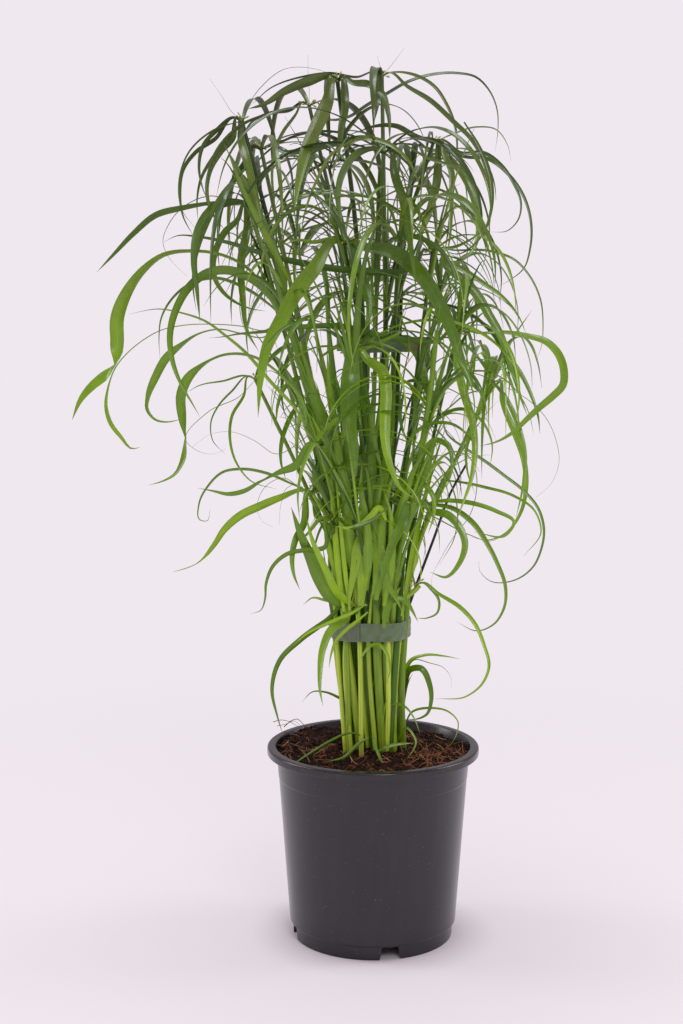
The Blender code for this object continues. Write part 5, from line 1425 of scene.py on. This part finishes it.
def lumps(chance, middles, sizes, tints):
    """Crumbs: each an icosahedron whose corners are pushed in or out by chance and that lies flattened."""
    golden = (1 + math.sqrt(5)) / 2
    corner = unit(np.array([(-1, golden, 0), (1, golden, 0), (-1, -golden, 0), (1, -golden, 0),
                            (0, -1, golden), (0, 1, golden), (0, -1, -golden), (0, 1, -golden),
                            (golden, 0, -1), (golden, 0, 1), (-golden, 0, -1), (-golden, 0, 1)], float))
    face = np.array(((0, 11, 5), (0, 5, 1), (0, 1, 7), (0, 7, 10), (0, 10, 11), (1, 5, 9), (5, 11, 4),
                     (11, 10, 2), (10, 7, 6), (7, 1, 8), (3, 9, 4), (3, 4, 2), (3, 2, 6), (3, 6, 8),
                     (3, 8, 9), (4, 9, 5), (2, 4, 11), (6, 2, 10), (8, 6, 7), (9, 8, 1)))
    count, corner_count = len(middles), len(corner)
    push = chance.uniform(*CRUMB_PUSH, (count, corner_count, 1))
    turn = chance.uniform(0.0, math.tau, (count, 1))
    squeeze = np.stack([chance.uniform(*span, count) for span in CRUMB_SIDES], axis=1)
    shape = corner * push * squeeze[:, None, :] * sizes[:, None, None]
    x = shape[..., 0] * np.cos(turn) - shape[..., 1] * np.sin(turn)
    y = shape[..., 0] * np.sin(turn) + shape[..., 1] * np.cos(turn)
    points = np.stack((x, y, shape[..., 2]), axis=2) + middles[:, None, :]
    faces = face + corner_count * np.arange(count)[:, None, None]
    values = np.zeros((count, corner_count, 4))
    values[..., 2] = tints[:, None]
    return points.reshape(-1, 3), faces.reshape(-1, 3), values.reshape(-1, 4)


def on_soil(x, y):
    """Points on the fine soil, from places measured from the pot's axis."""
    return POT_AXIS + np.stack((x, y, fine_soil(x, y)), axis=-1)


def fibre(chance, middle, heading, pitch, length, radius, tint):
    """A wiry fibre: a bent arc through a place, r(s) = radius * (middle - taper * s^2) from its middle."""
    share = np.linspace(-0.5, 0.5, FIBRE_ROWS)
    bend = chance.uniform(*FIBRE_BENDS)
    lift = chance.uniform(*FIBRE_CLIMBS)
    yaw = heading + bend * share * 2
    climb = pitch + lift * share * 2
    step = np.stack((np.cos(climb) * np.cos(yaw), np.cos(climb) * np.sin(yaw), np.sin(climb)), axis=1)
    path = np.cumsum(step, axis=0) * length / FIBRE_ROWS
    path += middle - path[FIBRE_ROWS // 2]
    return rod_strand(path, radius * (FIBRE_MIDDLE - FIBRE_TAPER * share**2), FIBRE_SIDES, tint)


class PotSettings(bpy.types.PropertyGroup):
    """The moulded pot."""

    collar: bpy.props.FloatProperty(
        name="Collar height", description="Height of the shallow step below the rim",
        default=147 * MM, unit="LENGTH", subtype="DISTANCE")
    dark: bpy.props.StringProperty(name="Dark plastic", description="Hex colour of the plastic",
                                   default="#120c15")
    light: bpy.props.StringProperty(name="Light plastic", description="Hex colour where it is paler",
                                    default="#1a131e")


class SoilSettings(bpy.types.PropertyGroup):
    """The peat with its crumbs and fibres."""

    crumbs: bpy.props.IntProperty(name="Crumbs", description="How many crumbs lie on the soil", default=3600)
    fibres: bpy.props.IntProperty(name="Fibres", description="How many coir fibres lie on the soil",
                                  default=420)
    crumb_size: bpy.props.FloatProperty(
        name="Crumb size", description="Half width of a usual crumb", default=1.35 * MM,
        unit="LENGTH", subtype="DISTANCE")
    dark: bpy.props.StringProperty(name="Dark peat", description="Hex colour of damp peat", default="#1c120d")
    brown: bpy.props.StringProperty(name="Brown peat", description="Hex colour of drier peat",
                                    default="#38231a")
    red: bpy.props.StringProperty(name="Red peat", description="Hex colour of bark in the peat",
                                  default="#5c3122")
    fibre: bpy.props.StringProperty(name="Fibre", description="Hex colour of a coir fibre", default="#8e4b30")


class CulmSettings(bpy.types.PropertyGroup):
    """The upright stems."""

    foot_radius: bpy.props.FloatProperty(
        name="Foot radius", description="Half width of a culm in its sheaths at the soil",
        default=3.0 * MM, unit="LENGTH", subtype="DISTANCE")
    belly: bpy.props.FloatProperty(
        name="Belly", description="How much wider a culm is at the lower tape, where its sheaths part",
        default=0.5 * MM, unit="LENGTH", subtype="DISTANCE")
    young_shoots: bpy.props.IntProperty(name="Young shoots", description="Slender shoots between the culms",
                                        default=21)
    tip_radius: bpy.props.FloatProperty(
        name="Tip radius", description="Half width of a culm below its crown",
        default=1.65 * MM, unit="LENGTH", subtype="DISTANCE")
    foot_green: bpy.props.StringProperty(name="Foot green", description="Hex colour at the soil",
                                         default="#8cab28")
    mid_green: bpy.props.StringProperty(name="Middle green", description="Hex colour at half height",
                                        default="#5f8614")
    top_green: bpy.props.StringProperty(name="Top green", description="Hex colour below the crowns",
                                        default="#2d3f15")


class CrownSettings(bpy.types.PropertyGroup):
    """The crowns of arching bracts."""

    crease: bpy.props.FloatProperty(
        name="Crease", description="Depth of a bract's V as a share of its width", default=0.12,
        subtype="FACTOR")
    thin_bracts: bpy.props.IntProperty(name="Thin bracts", description="Thin bracts added to each crown",
                                       default=12)
    rays: bpy.props.IntProperty(name="Rays", description="Spikelet rays in each crown", default=10)
    low_green: bpy.props.StringProperty(name="Low green", description="Hex colour of low bracts",
                                        default="#7ca312")
    mid_green: bpy.props.StringProperty(name="Middle green", description="Hex colour of bracts half way up",
                                        default="#6b920f")
    high_green: bpy.props.StringProperty(name="High green", description="Hex colour of high bracts",
                                         default="#44551a")


class TieSettings(bpy.types.PropertyGroup):
    """The two tapes round the culms."""

    thickness: bpy.props.FloatProperty(
        name="Tape thickness", description="Thickness of the tape", default=0.6 * MM,
        unit="LENGTH", subtype="DISTANCE")
    dark: bpy.props.StringProperty(name="Dark tape", description="Hex colour of the tape", default="#5b6b4e")
    light: bpy.props.StringProperty(name="Light tape", description="Hex colour where it is paler",
                                    default="#6b7e59")
    doubled: bpy.props.StringProperty(name="Doubled tape", description="Hex colour where it lies double",
                                      default="#626b56")


class StageSettings(bpy.types.PropertyGroup):
    """Floor, light and camera."""

    backdrop: bpy.props.StringProperty(name="Backdrop", description="Hex colour behind the plant",
                                       default="#f0e8ef")
    floor: bpy.props.StringProperty(name="Floor", description="Hex colour of the studio paper",
                                    default="#f1e9ee")
    lamp_power: bpy.props.FloatProperty(name="Lamp power", description="Power of the large lamp overhead",
                                        default=12.5, unit="POWER")


class BuildStage(bpy.types.Operator):
    """Lay the studio floor, hang the lamps and set the camera where the photograph was taken."""

    bl_idname = "sedge.build_stage"
    bl_label = "Build stage"

    def execute(self, context):
        settings = context.scene.sedge_stage
        angle = np.arange(FLOOR_SIDES) * math.tau / FLOOR_SIDES
        points = np.stack((np.cos(angle), np.sin(angle), np.zeros(FLOOR_SIDES)), axis=1) * FLOOR_RADIUS
        floor = add_mesh("floor", points, [tuple(range(FLOOR_SIDES))])
        floor.data.materials.append(studio_floor(linear(settings.backdrop), linear(settings.floor)))
        context.scene.world = studio_air(linear(settings.backdrop))
        context.scene.view_settings.view_transform = "Standard"
        for name, place, size, share, tone in LAMPS:
            light = bpy.data.lights.new(name, "AREA")
            light.shape = "RECTANGLE"
            light.size, light.size_y = size
            light.energy = settings.lamp_power * share
            light.color = tone
            lamp = add_object(name, light)
            lamp.location = place
            aim = np.array((POT_AXIS[0], POT_AXIS[1], AIM_HEIGHT)) - np.array(place)
            lamp.rotation_euler = Vector(aim).to_track_quat("-Z", "Y").to_euler()
        lens = bpy.data.cameras.new("photograph view")
        lens.sensor_width = SENSOR
        lens.lens = FOCAL * SENSOR / PICTURE_SIZE[1]
        camera = add_object("photograph view", lens)
        camera.location = POT_AXIS + np.array((0.0, -EYE_BACK, EYE_HEIGHT))
        camera.rotation_euler = (math.pi / 2 - EYE_PITCH, 0.0, -EYE_YAW)
        context.scene.camera = camera
        return {"FINISHED"}


class BuildPot(bpy.types.Operator):
    """Turn the pot from its section, cut the foot's notches by angle and the floor's drain holes."""

    bl_idname = "sedge.build_pot"
    bl_label = "Build pot"

    def execute(self, context):
        settings = context.scene.sedge_pot
        angle = notch_angles()
        plain = pot_profile(settings.collar)
        profile = rounded(plain, CURVE_RADIUS)
        heights = np.repeat(profile[1:-1, 1][:, None], len(angle), axis=1)
        foot = profile[1:-1, 1] < MM
        heights[foot] = np.maximum(heights[foot], notch_height(angle)[None, :])
        points, faces = turned(profile, angle, heights)
        pot = finish_piece("pot_moulded", points, faces, None, pot_plastic(settings), SMOOTH["pot"],
                           ("pot",))
        for number in range(DRAIN_COUNT):
            turn = math.tau * (number + 0.5) / DRAIN_COUNT
            place = POT_AXIS + DRAIN_CIRCLE * np.array((math.cos(turn), math.sin(turn), 0.0))
            low, high = FLOOR_UNDER - DRAIN_BELOW, STEP_HEIGHT + DRAIN_ABOVE
            ends = np.linspace(place + (0, 0, low), place + (0, 0, high), DRAIN_ROWS)
            grid, _ = rod_strand(ends, np.full(DRAIN_ROWS, DRAIN_RADIUS), DRAIN_SIDES, 0.0)
            peg = add_mesh("drain peg", grid.reshape(-1, 3), strand_faces(DRAIN_ROWS, DRAIN_SIDES))
            cut = pot.modifiers.new("drain", "BOOLEAN")
            cut.operation = "DIFFERENCE"
            cut.solver = "EXACT"
            cut.object = peg
            graph = context.evaluated_depsgraph_get()
            carved = bpy.data.meshes.new_from_object(pot.evaluated_get(graph))
            pot.modifiers.clear()
            pot.data = carved
            bpy.data.objects.remove(peg)
        pot.data.set_sharp_from_angle(angle=math.radians(SMOOTH["pot"]))
        return {"FINISHED"}


class BuildSoil(bpy.types.Operator):
    """Heap the peat in the pot, and strew it with crumbs, bark and coir fibres."""

    bl_idname = "sedge.build_soil"
    bl_label = "Build soil"

    def execute(self, context):
        settings = context.scene.sedge_soil
        chance = np.random.default_rng(SEEDS["soil"])
        floor = STEP_HEIGHT + WALL + CLEAR
        angle = np.arange(SOIL_TURNS) * math.tau / SOIL_TURNS
        shares = np.linspace(1.0, 0.0, SOIL_RINGS + 1)[:-1]
        edge = wall_radius(SOIL_LEVEL) - CLEAR
        radius = edge * shares[:, None] * np.ones_like(angle)
        top = fine_soil(radius * np.cos(angle), radius * np.sin(angle))
        low = wall_radius(floor) - CLEAR
        profile = np.vstack(((0.0, floor), (low, floor), np.stack((radius[:, 0], top[:, 0]), axis=1),
                             (0.0, float(fine_soil(np.zeros(1), np.zeros(1))[0]))))
        heights = np.vstack((np.full((1, SOIL_TURNS), floor), top))
        points, faces = turned(profile, angle, heights)
        finish_piece("peat", points, faces, None, peat_earth(settings), SMOOTH["peat"], ("soil",))

        count = settings.crumbs
        reach = edge * np.sqrt(chance.uniform(0.0, 1.0, count)) * CRUMB_EDGE
        turn = chance.uniform(0.0, math.tau, count)
        middles = on_soil(reach * np.cos(turn), reach * np.sin(turn))
        sizes = settings.crumb_size * chance.lognormal(0.0, CRUMB_SPREAD, count)
        sizes = np.minimum(sizes, CRUMB_LARGEST)
        tints = chance.uniform(0.0, 1.0, count) ** CRUMB_DARK
        crumbs, faces, values = lumps(chance, middles, sizes, tints)
        marks = np.array([on_level(u, v, SOIL_LEVEL + BARK_LIFT) for u, v, _, _ in BARK])
        sizes = np.array([size * MM for _, _, size, _ in BARK])
        tints = np.array([tint for _, _, _, tint in BARK])
        bark, bark_faces, bark_values = lumps(chance, marks, sizes, tints)
        finish_piece("crumbs", np.vstack((crumbs, bark)), np.vstack((faces, bark_faces + len(crumbs))),
                     np.vstack((values, bark_values)), crumb_earth(settings), SMOOTH["crumb"], ())

        strands = []
        for _ in range(settings.fibres):
            group = FIBRE_PATCHES[chance.choice(len(FIBRE_PATCHES), p=FIBRE_SHARES)]
            x, y = chance.normal(group[0] * MM, group[2] * MM), chance.normal(group[1] * MM, group[2] * MM)
            away = math.hypot(x, y)
            if away > edge - FIBRE_EDGE:
                x, y = np.array((x, y)) * (edge - FIBRE_EDGE) / away
            spot = on_soil(np.array(x), np.array(y))
            length = chance.uniform(*FIBRE_LENGTHS) * MM
            pitch = abs(chance.normal(0.0, FIBRE_PITCH))
            spot = spot + np.array((0.0, 0.0, FIBRE_STAND * length * math.sin(pitch) + FIBRE_LIFT))
            strands.append(fibre(chance, spot, chance.uniform(0.0, math.tau), pitch, length,
                                 chance.uniform(*FIBRE_RADII) * MM, chance.uniform(0.0, 1.0)))
        for width, depth, marks in ROOTS:
            path = smooth_path([from_view(u, v, depth * MM) for u, v in marks], ROOT_ROWS)
            radii = np.linspace(width, width * ROOT_TAPER, ROOT_ROWS) * MM / 2
            strands.append(rod_strand(path, radii, ROOT_SIDES, ROOT_TINT))
        strand_piece("fibres", strands, coir_strand(settings), SMOOTH["rod"], ())
        return {"FINISHED"}


class BuildCulms(bpy.types.Operator):
    """Grow each culm along its solid: wide in its sheaths below, softly three-ribbed above."""

    bl_idname = "sedge.build_culms"
    bl_label = "Build culms"

    def execute(self, context):
        settings = context.scene.sedge_culms
        skin = culm_skin(settings)
        chance = np.random.default_rng(SEEDS["culms"])
        for number in range(len(SHOOTS)):
            rings = culm_rings(number)
            path = smooth_path(np.vstack((rings, crown_centre(rings))), CULM_PATH)
            place = np.linspace(0.0, 1.0, CULM_PATH)
            height = path[:, 2]
            belly = np.exp(-(((height - BELLY_HEIGHT) / BELLY_SPREAD) ** 2))
            path[:, :2] += (path - POT_AXIS)[:, :2] * (belly * CULM_SPREAD)[:, None]
            sheath = np.clip((SHEATH_END - height) / (SHEATH_END - SHEATH_START), 0.0, 1.0)
            sheath = sheath * sheath * (3 - 2 * sheath)
            slim = settings.tip_radius + (SLIM_RADIUS - settings.tip_radius) * (1 - place)
            radii = slim + (settings.foot_radius - SLIM_RADIUS) * sheath + settings.belly * belly
            radii *= chance.uniform(*CULM_GIRTHS)
            drift = chance.uniform(-CULM_TINT_DRIFT, CULM_TINT_DRIFT)
            tint = CULM_TINTS[number % len(CULM_TINTS)] + drift
            flat = chance.uniform(*CULM_FLATS)
            strands = [rod_strand(path, radii, CULM_TURNS, tint, flat, CULM_RIB_DEPTH)]
            for order in range(SHEATHS):
                strands.append(self.sheath(chance, path, radii, order, tint, flat))
            strand_piece(f"stem_{number + 1:02d}", strands, skin, SMOOTH["rod"],
                         (f"culm_{number + 1:02d}",))
        shoots = [self.young_shoot(chance, order) for order in range(settings.young_shoots)]
        strand_piece("young_shoots", shoots, skin, SMOOTH["rod"], ())
        return {"FINISHED"}

    @staticmethod
    def young_shoot(chance, order):
        """A slender shoot between the culms: it rises through the lower tape and ends in a spear.

        Its radius is that of the shoot times ((1 - s) / spear)^0.7, held between a tenth and one.
        """
        _, centre, radii, tie_height = TAPES[0][:4]
        turns = order * GOLDEN_TURN + chance.uniform(-SHOOT_SWAY, SHOOT_SWAY, 3)
        heights = (SOIL_LEVEL - SHOOT_SINK, tie_height, tie_height + chance.uniform(*SHOOT_RISE))
        out = (chance.uniform(*SHOOT_FOOT), SHOOT_TIE, chance.uniform(*SHOOT_TOP))
        points = [POT_AXIS + np.array((centre[0] + radii[0] * share * math.cos(turn),
                                       centre[1] + radii[1] * share * math.sin(turn), height))
                  for share, turn, height in zip(out, turns, heights)]
        path = smooth_path(points, SHOOT_PATH)
        place = np.linspace(0.0, 1.0, SHOOT_PATH)
        thick = chance.uniform(*SHOOT_RADII) * np.clip((1.0 - place) / SHOOT_SPEAR, 0.1, 1.0) ** 0.7
        return rod_strand(path, thick, CULM_TURNS, chance.choice(CULM_TINTS), SHOOT_FLAT, CULM_RIB_DEPTH)

    @staticmethod
    def sheath(chance, path, radii, order, tint, flat):
        """A leaf sheath that clasps the culm from the soil to its slanting mouth.

        It is a rod wider than the one inside it by SHEATH_STEP, and its rings lean over towards the
        mouth: shift(a) = slant * cos(a - turn) * nearness^2.
        """
        top = SHEATH_MOUTHS[order] + chance.uniform(-SHEATH_DRIFT, SHEATH_DRIFT) * MM
        last = max(int((path[:, 2] < top).sum()), SHEATH_ROWS)
        wider = radii[:last] + SHEATH_STEP * (order + 1)
        wider[-1] = radii[last - 1] * SHEATH_CLOSE
        tint = np.clip(tint + chance.uniform(-SHEATH_TINT_DRIFT, SHEATH_TINT_DRIFT), 0.0, 1.0)
        grid, values = rod_strand(path[:last], wider, CULM_TURNS, tint, flat)
        nearness = np.clip((path[:last, 2] - top) / SHEATH_LEAN + 1.0, 0.0, 1.0)[:, None] ** 2
        angle = np.arange(CULM_TURNS) * math.tau / CULM_TURNS - chance.uniform(0.0, math.tau)
        grid[..., 2] += nearness * SHEATH_SLANT * np.cos(angle)
        return grid, values


class BuildCrowns(bpy.types.Operator):
    """Draw each crown's bracts again, finer, round the blades of its solid; add thin ones and spikelets."""

    bl_idname = "sedge.build_crowns"
    bl_label = "Build crowns"

    def execute(self, context):
        settings = context.scene.sedge_crowns
        skin, tuft = bract_skin(settings), tuft_skin()
        for number, plan in enumerate(SHOOTS):
            chance = np.random.default_rng(SEEDS["crowns"] + number)
            hub = crown_centre(culm_rings(number))
            points = corners(f"bracts_{number + 1:02d}")
            strands = []
            for name, spec in plan["blades"].items():
                course = traced_blade(plan, spec, hub, points)
                if course is None:
                    raise RuntimeError(f"blade {name} of crown {number + 1} isn't in its solid")
                strands.append(blade_strand(course, spec["width"], chance.uniform(*TRACED_TINTS),
                                            settings.crease, late=spec["late"]))
            for order in range(plan["spare"]):
                laid = spare_blade(number, order, hub, points)
                if laid:
                    strands.append(blade_strand(*laid, chance.uniform(*SPARE_TINTS), settings.crease))
            strands += self.thin_bracts(chance, hub, settings)
            strand_piece(f"crown_{number + 1:02d}", strands, skin, SMOOTH["blade"],
                         (f"bracts_{number + 1:02d}",))
            strand_piece(f"spikelets_{number + 1:02d}", self.spikelets(chance, hub, settings.rays), tuft,
                         SMOOTH["spikelet"], ())
        return {"FINISHED"}

    @staticmethod
    def thin_bracts(chance, hub, settings):
        """Narrow bracts round the crown, each tried again until it stays in the leafy mass.

        A low crown stands beside the sheaf, so its bracts turn outwards: the lower it is, the narrower
        the range of headings on both sides of the way out from the pot's axis.
        """
        made = []
        out = hub - POT_AXIS
        share = np.interp(hub[2], LOW_HEIGHTS, LOW_TURNS)
        count = settings.thin_bracts * np.interp(hub[2], THIN_HEIGHTS, THIN_SHARES)
        for order in range(round(float(count))):
            turn = order * GOLDEN_TURN + chance.uniform(-THIN_DRIFT, THIN_DRIFT)
            heading = math.atan2(out[1], out[0]) + share * math.remainder(turn, math.tau)
            for attempt in range(THIN_TRIES):
                sway = THIN_SWAYS[0] + THIN_SWAYS[1] * attempt
                route, side, twist, width = arch(chance, heading, sway, THIN_LENGTHS, THIN_WIDTHS,
                                                 attempt, hub)
                if within_reach(route, THIN_REACH) and route[:, 2].max() < THIN_CEILING:
                    course = blade_course(route, side, (0.0, twist))
                    made.append(blade_strand(course, width, chance.uniform(0.0, 1.0), settings.crease, 2))
                    break
        return made

    @staticmethod
    def spikelets(chance, hub, count):
        """Short drooping rays from the crown's middle, each ending in a spikelet.

        Past the bare share of the ray the spikelet swells and thins as sin(pi * t)^0.7.
        """
        made = []
        place = np.linspace(0.0, 1.0, RAY_ROWS)
        past = np.clip((place - RAY_BARE) / (1.0 - RAY_BARE), 0.0, 1.0)
        spindle = np.where(place > RAY_BARE, np.sin(past * math.pi) ** 0.7, 0.0)
        for order in range(count):
            turn = order * GOLDEN_TURN + chance.uniform(-RAY_DRIFT, RAY_DRIFT)
            pitch = chance.uniform(*RAY_PITCHES)
            aim = np.array((math.cos(pitch) * math.cos(turn), math.cos(pitch) * math.sin(turn),
                            math.sin(pitch)))
            length = chance.uniform(*RAY_LENGTHS) * MM
            drop = np.array((0, 0, 1)) * (place**2 * length * RAY_DROOP)[:, None]
            radii = RAY_RADIUS + chance.uniform(*SPIKELET_RADII) * MM * spindle
            made.append(rod_strand(hub + aim * (place * length)[:, None] - drop, radii, RAY_SIDES,
                                   chance.uniform(0.0, 1.0)))
        return made


class BuildTies(bpy.types.Operator):
    """Wind the two tapes round the culms with their wrinkles, the fold and the loose end."""

    bl_idname = "sedge.build_ties"
    bl_label = "Build ties"

    def execute(self, context):
        settings = context.scene.sedge_ties
        skin = tape_film(settings)
        for node, *shape in TAPES:
            grid, across = self.tape(settings.thickness, *shape)
            loose = np.arange(len(grid))[:, None] >= TAPE_PATH + TAPE_TAIL // 2
            strand_piece(f"{node}_tape", [strand(grid, across, loose)], skin, SMOOTH["rod"], (node,))
        return {"FINISHED"}

    @staticmethod
    def tape(thickness, centre, radii, height, width, first, turns, tail, seed):
        """A band on an ellipse: r(a) = radius + spread * s^4, with wrinkles, a sway and a pressed fold."""
        share = np.linspace(0.0, 1.0, TAPE_PATH)
        angle = math.radians(first) + share * turns * math.tau
        grow = thickness / 2 + TAPE_SPREAD * share**4
        route = np.stack((centre[0] + (radii[0] + grow) * np.cos(angle),
                          centre[1] + (radii[1] + grow) * np.sin(angle)), axis=1)
        if tail:
            along = np.linspace(TAPE_TAIL_START, 1.0, TAPE_TAIL) * tail
            route = np.vstack((route, route[-1] + unit(route[-1] - route[-2]) * along[:, None]))
        ahead = unit(np.gradient(route, axis=0))
        out = np.stack((ahead[:, 1], -ahead[:, 0]), axis=1)
        level = np.concatenate((np.linspace(-1, 1, TAPE_ACROSS), np.linspace(1, -1, TAPE_ACROSS)))
        face = np.concatenate((np.ones(TAPE_ACROSS), -np.ones(TAPE_ACROSS)))
        rows = np.arange(len(route))[:, None]
        spots = np.stack((rows * TAPE_STEP + 0 * level, rows * 0 + level * width / 2), axis=-1)
        wrinkle = sum(size * wander(spots, length, seed + order)
                      for order, (size, length) in enumerate(TAPE_WRINKLES))
        sway = TAPE_SWAY * np.sin(rows / TAPE_SWAY_ROWS + seed)
        folded = np.exp(-(((route[:, 0:1] - TAPE_SEAM) / TAPE_FOLD) ** 2)) * (route[:, 1:2] < 0)
        push = face * thickness / 2 + wrinkle + TAPE_FOLD * folded
        x = route[:, 0:1] + out[:, 0:1] * push
        y = route[:, 1:2] + out[:, 1:2] * push
        z = height + level * width / 2 + sway
        grid = np.stack((x, y, z), axis=2) + POT_AXIS
        return grid, (level + 1) / 2


def inner_leaf(chance, path, start, outward, lengths, widths, leans):
    """A leaf that rises beside its culm, leans away and nods.

    With L its length, out(s) = lean * L * s^2 and drop(s) = nod * L * s^4.
    """
    first = int(np.argmin(np.abs(path[:, 2] - start)))
    ahead = unit(path[min(first + INNER_SPAN, len(path) - 1)] - path[max(first - INNER_SPAN, 0)])
    length = chance.uniform(*lengths)
    lean = chance.uniform(*leans)
    nod = chance.uniform(*INNER_NODS)
    turn = chance.normal(0.0, INNER_SWAY)
    side = np.array((outward[0] * math.cos(turn) - outward[1] * math.sin(turn),
                     outward[0] * math.sin(turn) + outward[1] * math.cos(turn), 0.0))
    share = np.linspace(0.0, 1.0, ARCH_POINTS)[:, None]
    route = (path[first] + ahead * share * length * INNER_RISE + side * lean * length * share**2
             - np.array((0.0, 0.0, 1.0)) * nod * length * share**4)
    across = np.cross(side, np.array((0.0, 0.0, 1.0)))
    last_turn = chance.uniform(*INNER_LAST_TURNS)
    turns = (chance.uniform(*INNER_FIRST_TURNS), last_turn)
    return blade_course(route, across, turns), chance.uniform(*widths)


class BuildGrowth(bpy.types.Operator):
    """Add what grows between the culms: young and upright leaves, thread-like bracts and a dead culm."""

    bl_idname = "sedge.build_growth"
    bl_label = "Build young growth"

    def execute(self, context):
        settings = context.scene.sedge_crowns
        chance = np.random.default_rng(SEEDS["growth"])
        skin = bract_skin(settings)
        for name, leaves in (("young_leaves", YOUNG_LEAVES), ("clump_leaves", CLUMP_LEAVES)):
            made = []
            for width, tint, near, far, turns, marks in leaves:
                depths = np.linspace(near, far, len(marks)) * MM
                route = [from_view(u, v, depth) for (u, v), depth in zip(marks, depths)]
                made.append(blade_strand(blade_course(route, None, turns), width * MM, tint,
                                         settings.crease))
            strand_piece(name, made, skin, SMOOTH["blade"], ())
        inner = []
        for number in range(len(SHOOTS)):
            path = smooth_path(culm_rings(number), CULM_PATH)
            for order in range(INNER_PER_CULM):
                share = (order + chance.uniform(0.0, 1.0)) / INNER_PER_CULM
                start = INNER_STARTS[0] + share * (INNER_STARTS[1] - INNER_STARTS[0])
                start = min(start, path[-1, 2] - INNER_TOP)
                away = unit((path[-1] - POT_AXIS) * np.array((1.0, 1.0, 0.0)))
                for _ in range(THIN_TRIES):
                    course, width = inner_leaf(chance, path, start, away, INNER_LENGTHS, INNER_WIDTHS,
                                               INNER_LEANS)
                    if within_reach(course["path"], INNER_REACH):
                        # Tints reach 0, so some of these leaves are dark: painted shade inside the clump
                        tint = chance.uniform(0.0, 1.0)
                        inner.append(blade_strand(course, width, tint, settings.crease, 2))
                        break
            for _ in range(FOOT_PER_CULM):
                out = unit((path[0] - POT_AXIS) * np.array((1.0, 1.0, 0.0)))
                course, width = inner_leaf(chance, path, chance.uniform(*FOOT_STARTS), out, FOOT_LENGTHS,
                                           FOOT_WIDTHS, FOOT_LEANS)
                inner.append(blade_strand(course, width, chance.uniform(0.0, 1.0), settings.crease))
        strand_piece("inner_leaves", inner, skin, SMOOTH["blade"], ())
        threads = []
        for crown, width, far, marks in THREADS:
            plan = SHOOTS[crown - 1]
            hub = crown_centre(culm_rings(crown - 1))
            depths = np.linspace(plan["depth"], far * MM, len(marks) + 1)[1:]
            route = [hub] + [from_view(u, v, depth) for (u, v), depth in zip(marks, depths)]
            threads.append(blade_strand(blade_course(route, None, THREAD_TURNS), width * MM,
                                        chance.uniform(*THREAD_TINTS), settings.crease))
        strand_piece("stray_threads", threads, skin, SMOOTH["blade"], ())
        path = smooth_path([from_view(u, v, depth * MM) for u, v, depth in DEAD_CULM], DEAD_ROWS)
        dead = rod_strand(path, np.linspace(*DEAD_RADII, DEAD_ROWS) * MM, DEAD_SIDES, DEAD_TINT)
        strand_piece("dead_culm", [dead], old_wood(), SMOOTH["rod"], ())
        return {"FINISHED"}


class SEDGE_PT_build(bpy.types.Panel):
    """Lists the sizes and colours of the sedge and builds its pieces."""

    bl_label = "Umbrella sedge"
    bl_space_type = "VIEW_3D"
    bl_region_type = "UI"
    bl_category = "Sedge"

    def draw(self, context):
        for name, (group, operator) in SETTINGS.items():
            box = self.layout.box()
            for key in group.__annotations__:
                box.prop(getattr(context.scene, name), key)
            box.operator(operator.bl_idname)
        self.layout.operator(BuildGrowth.bl_idname)


SETTINGS = {
    "sedge_stage": (StageSettings, BuildStage),
    "sedge_pot": (PotSettings, BuildPot),
    "sedge_soil": (SoilSettings, BuildSoil),
    "sedge_culms": (CulmSettings, BuildCulms),
    "sedge_crowns": (CrownSettings, BuildCrowns),
    "sedge_ties": (TieSettings, BuildTies),
}


def register():
    """Register the settings, the operators and the panel."""
    for name, (group, operator) in SETTINGS.items():
        bpy.utils.register_class(group)
        bpy.utils.register_class(operator)
        setattr(bpy.types.Scene, name, bpy.props.PointerProperty(type=group))
    bpy.utils.register_class(BuildGrowth)
    bpy.utils.register_class(SEDGE_PT_build)


def unregister():
    """Take away what register added."""
    bpy.utils.unregister_class(SEDGE_PT_build)
    bpy.utils.unregister_class(BuildGrowth)
    for name, (group, operator) in SETTINGS.items():
        delattr(bpy.types.Scene, name)
        bpy.utils.unregister_class(operator)
        bpy.utils.unregister_class(group)


def main():
    """Build everything in order."""
    register()
    bpy.ops.sedge.build_stage()
    bpy.ops.sedge.build_pot()
    bpy.ops.sedge.build_soil()
    bpy.ops.sedge.build_culms()
    bpy.ops.sedge.build_crowns()
    bpy.ops.sedge.build_ties()
    bpy.ops.sedge.build_growth()


if __name__ == "__main__":
    main()
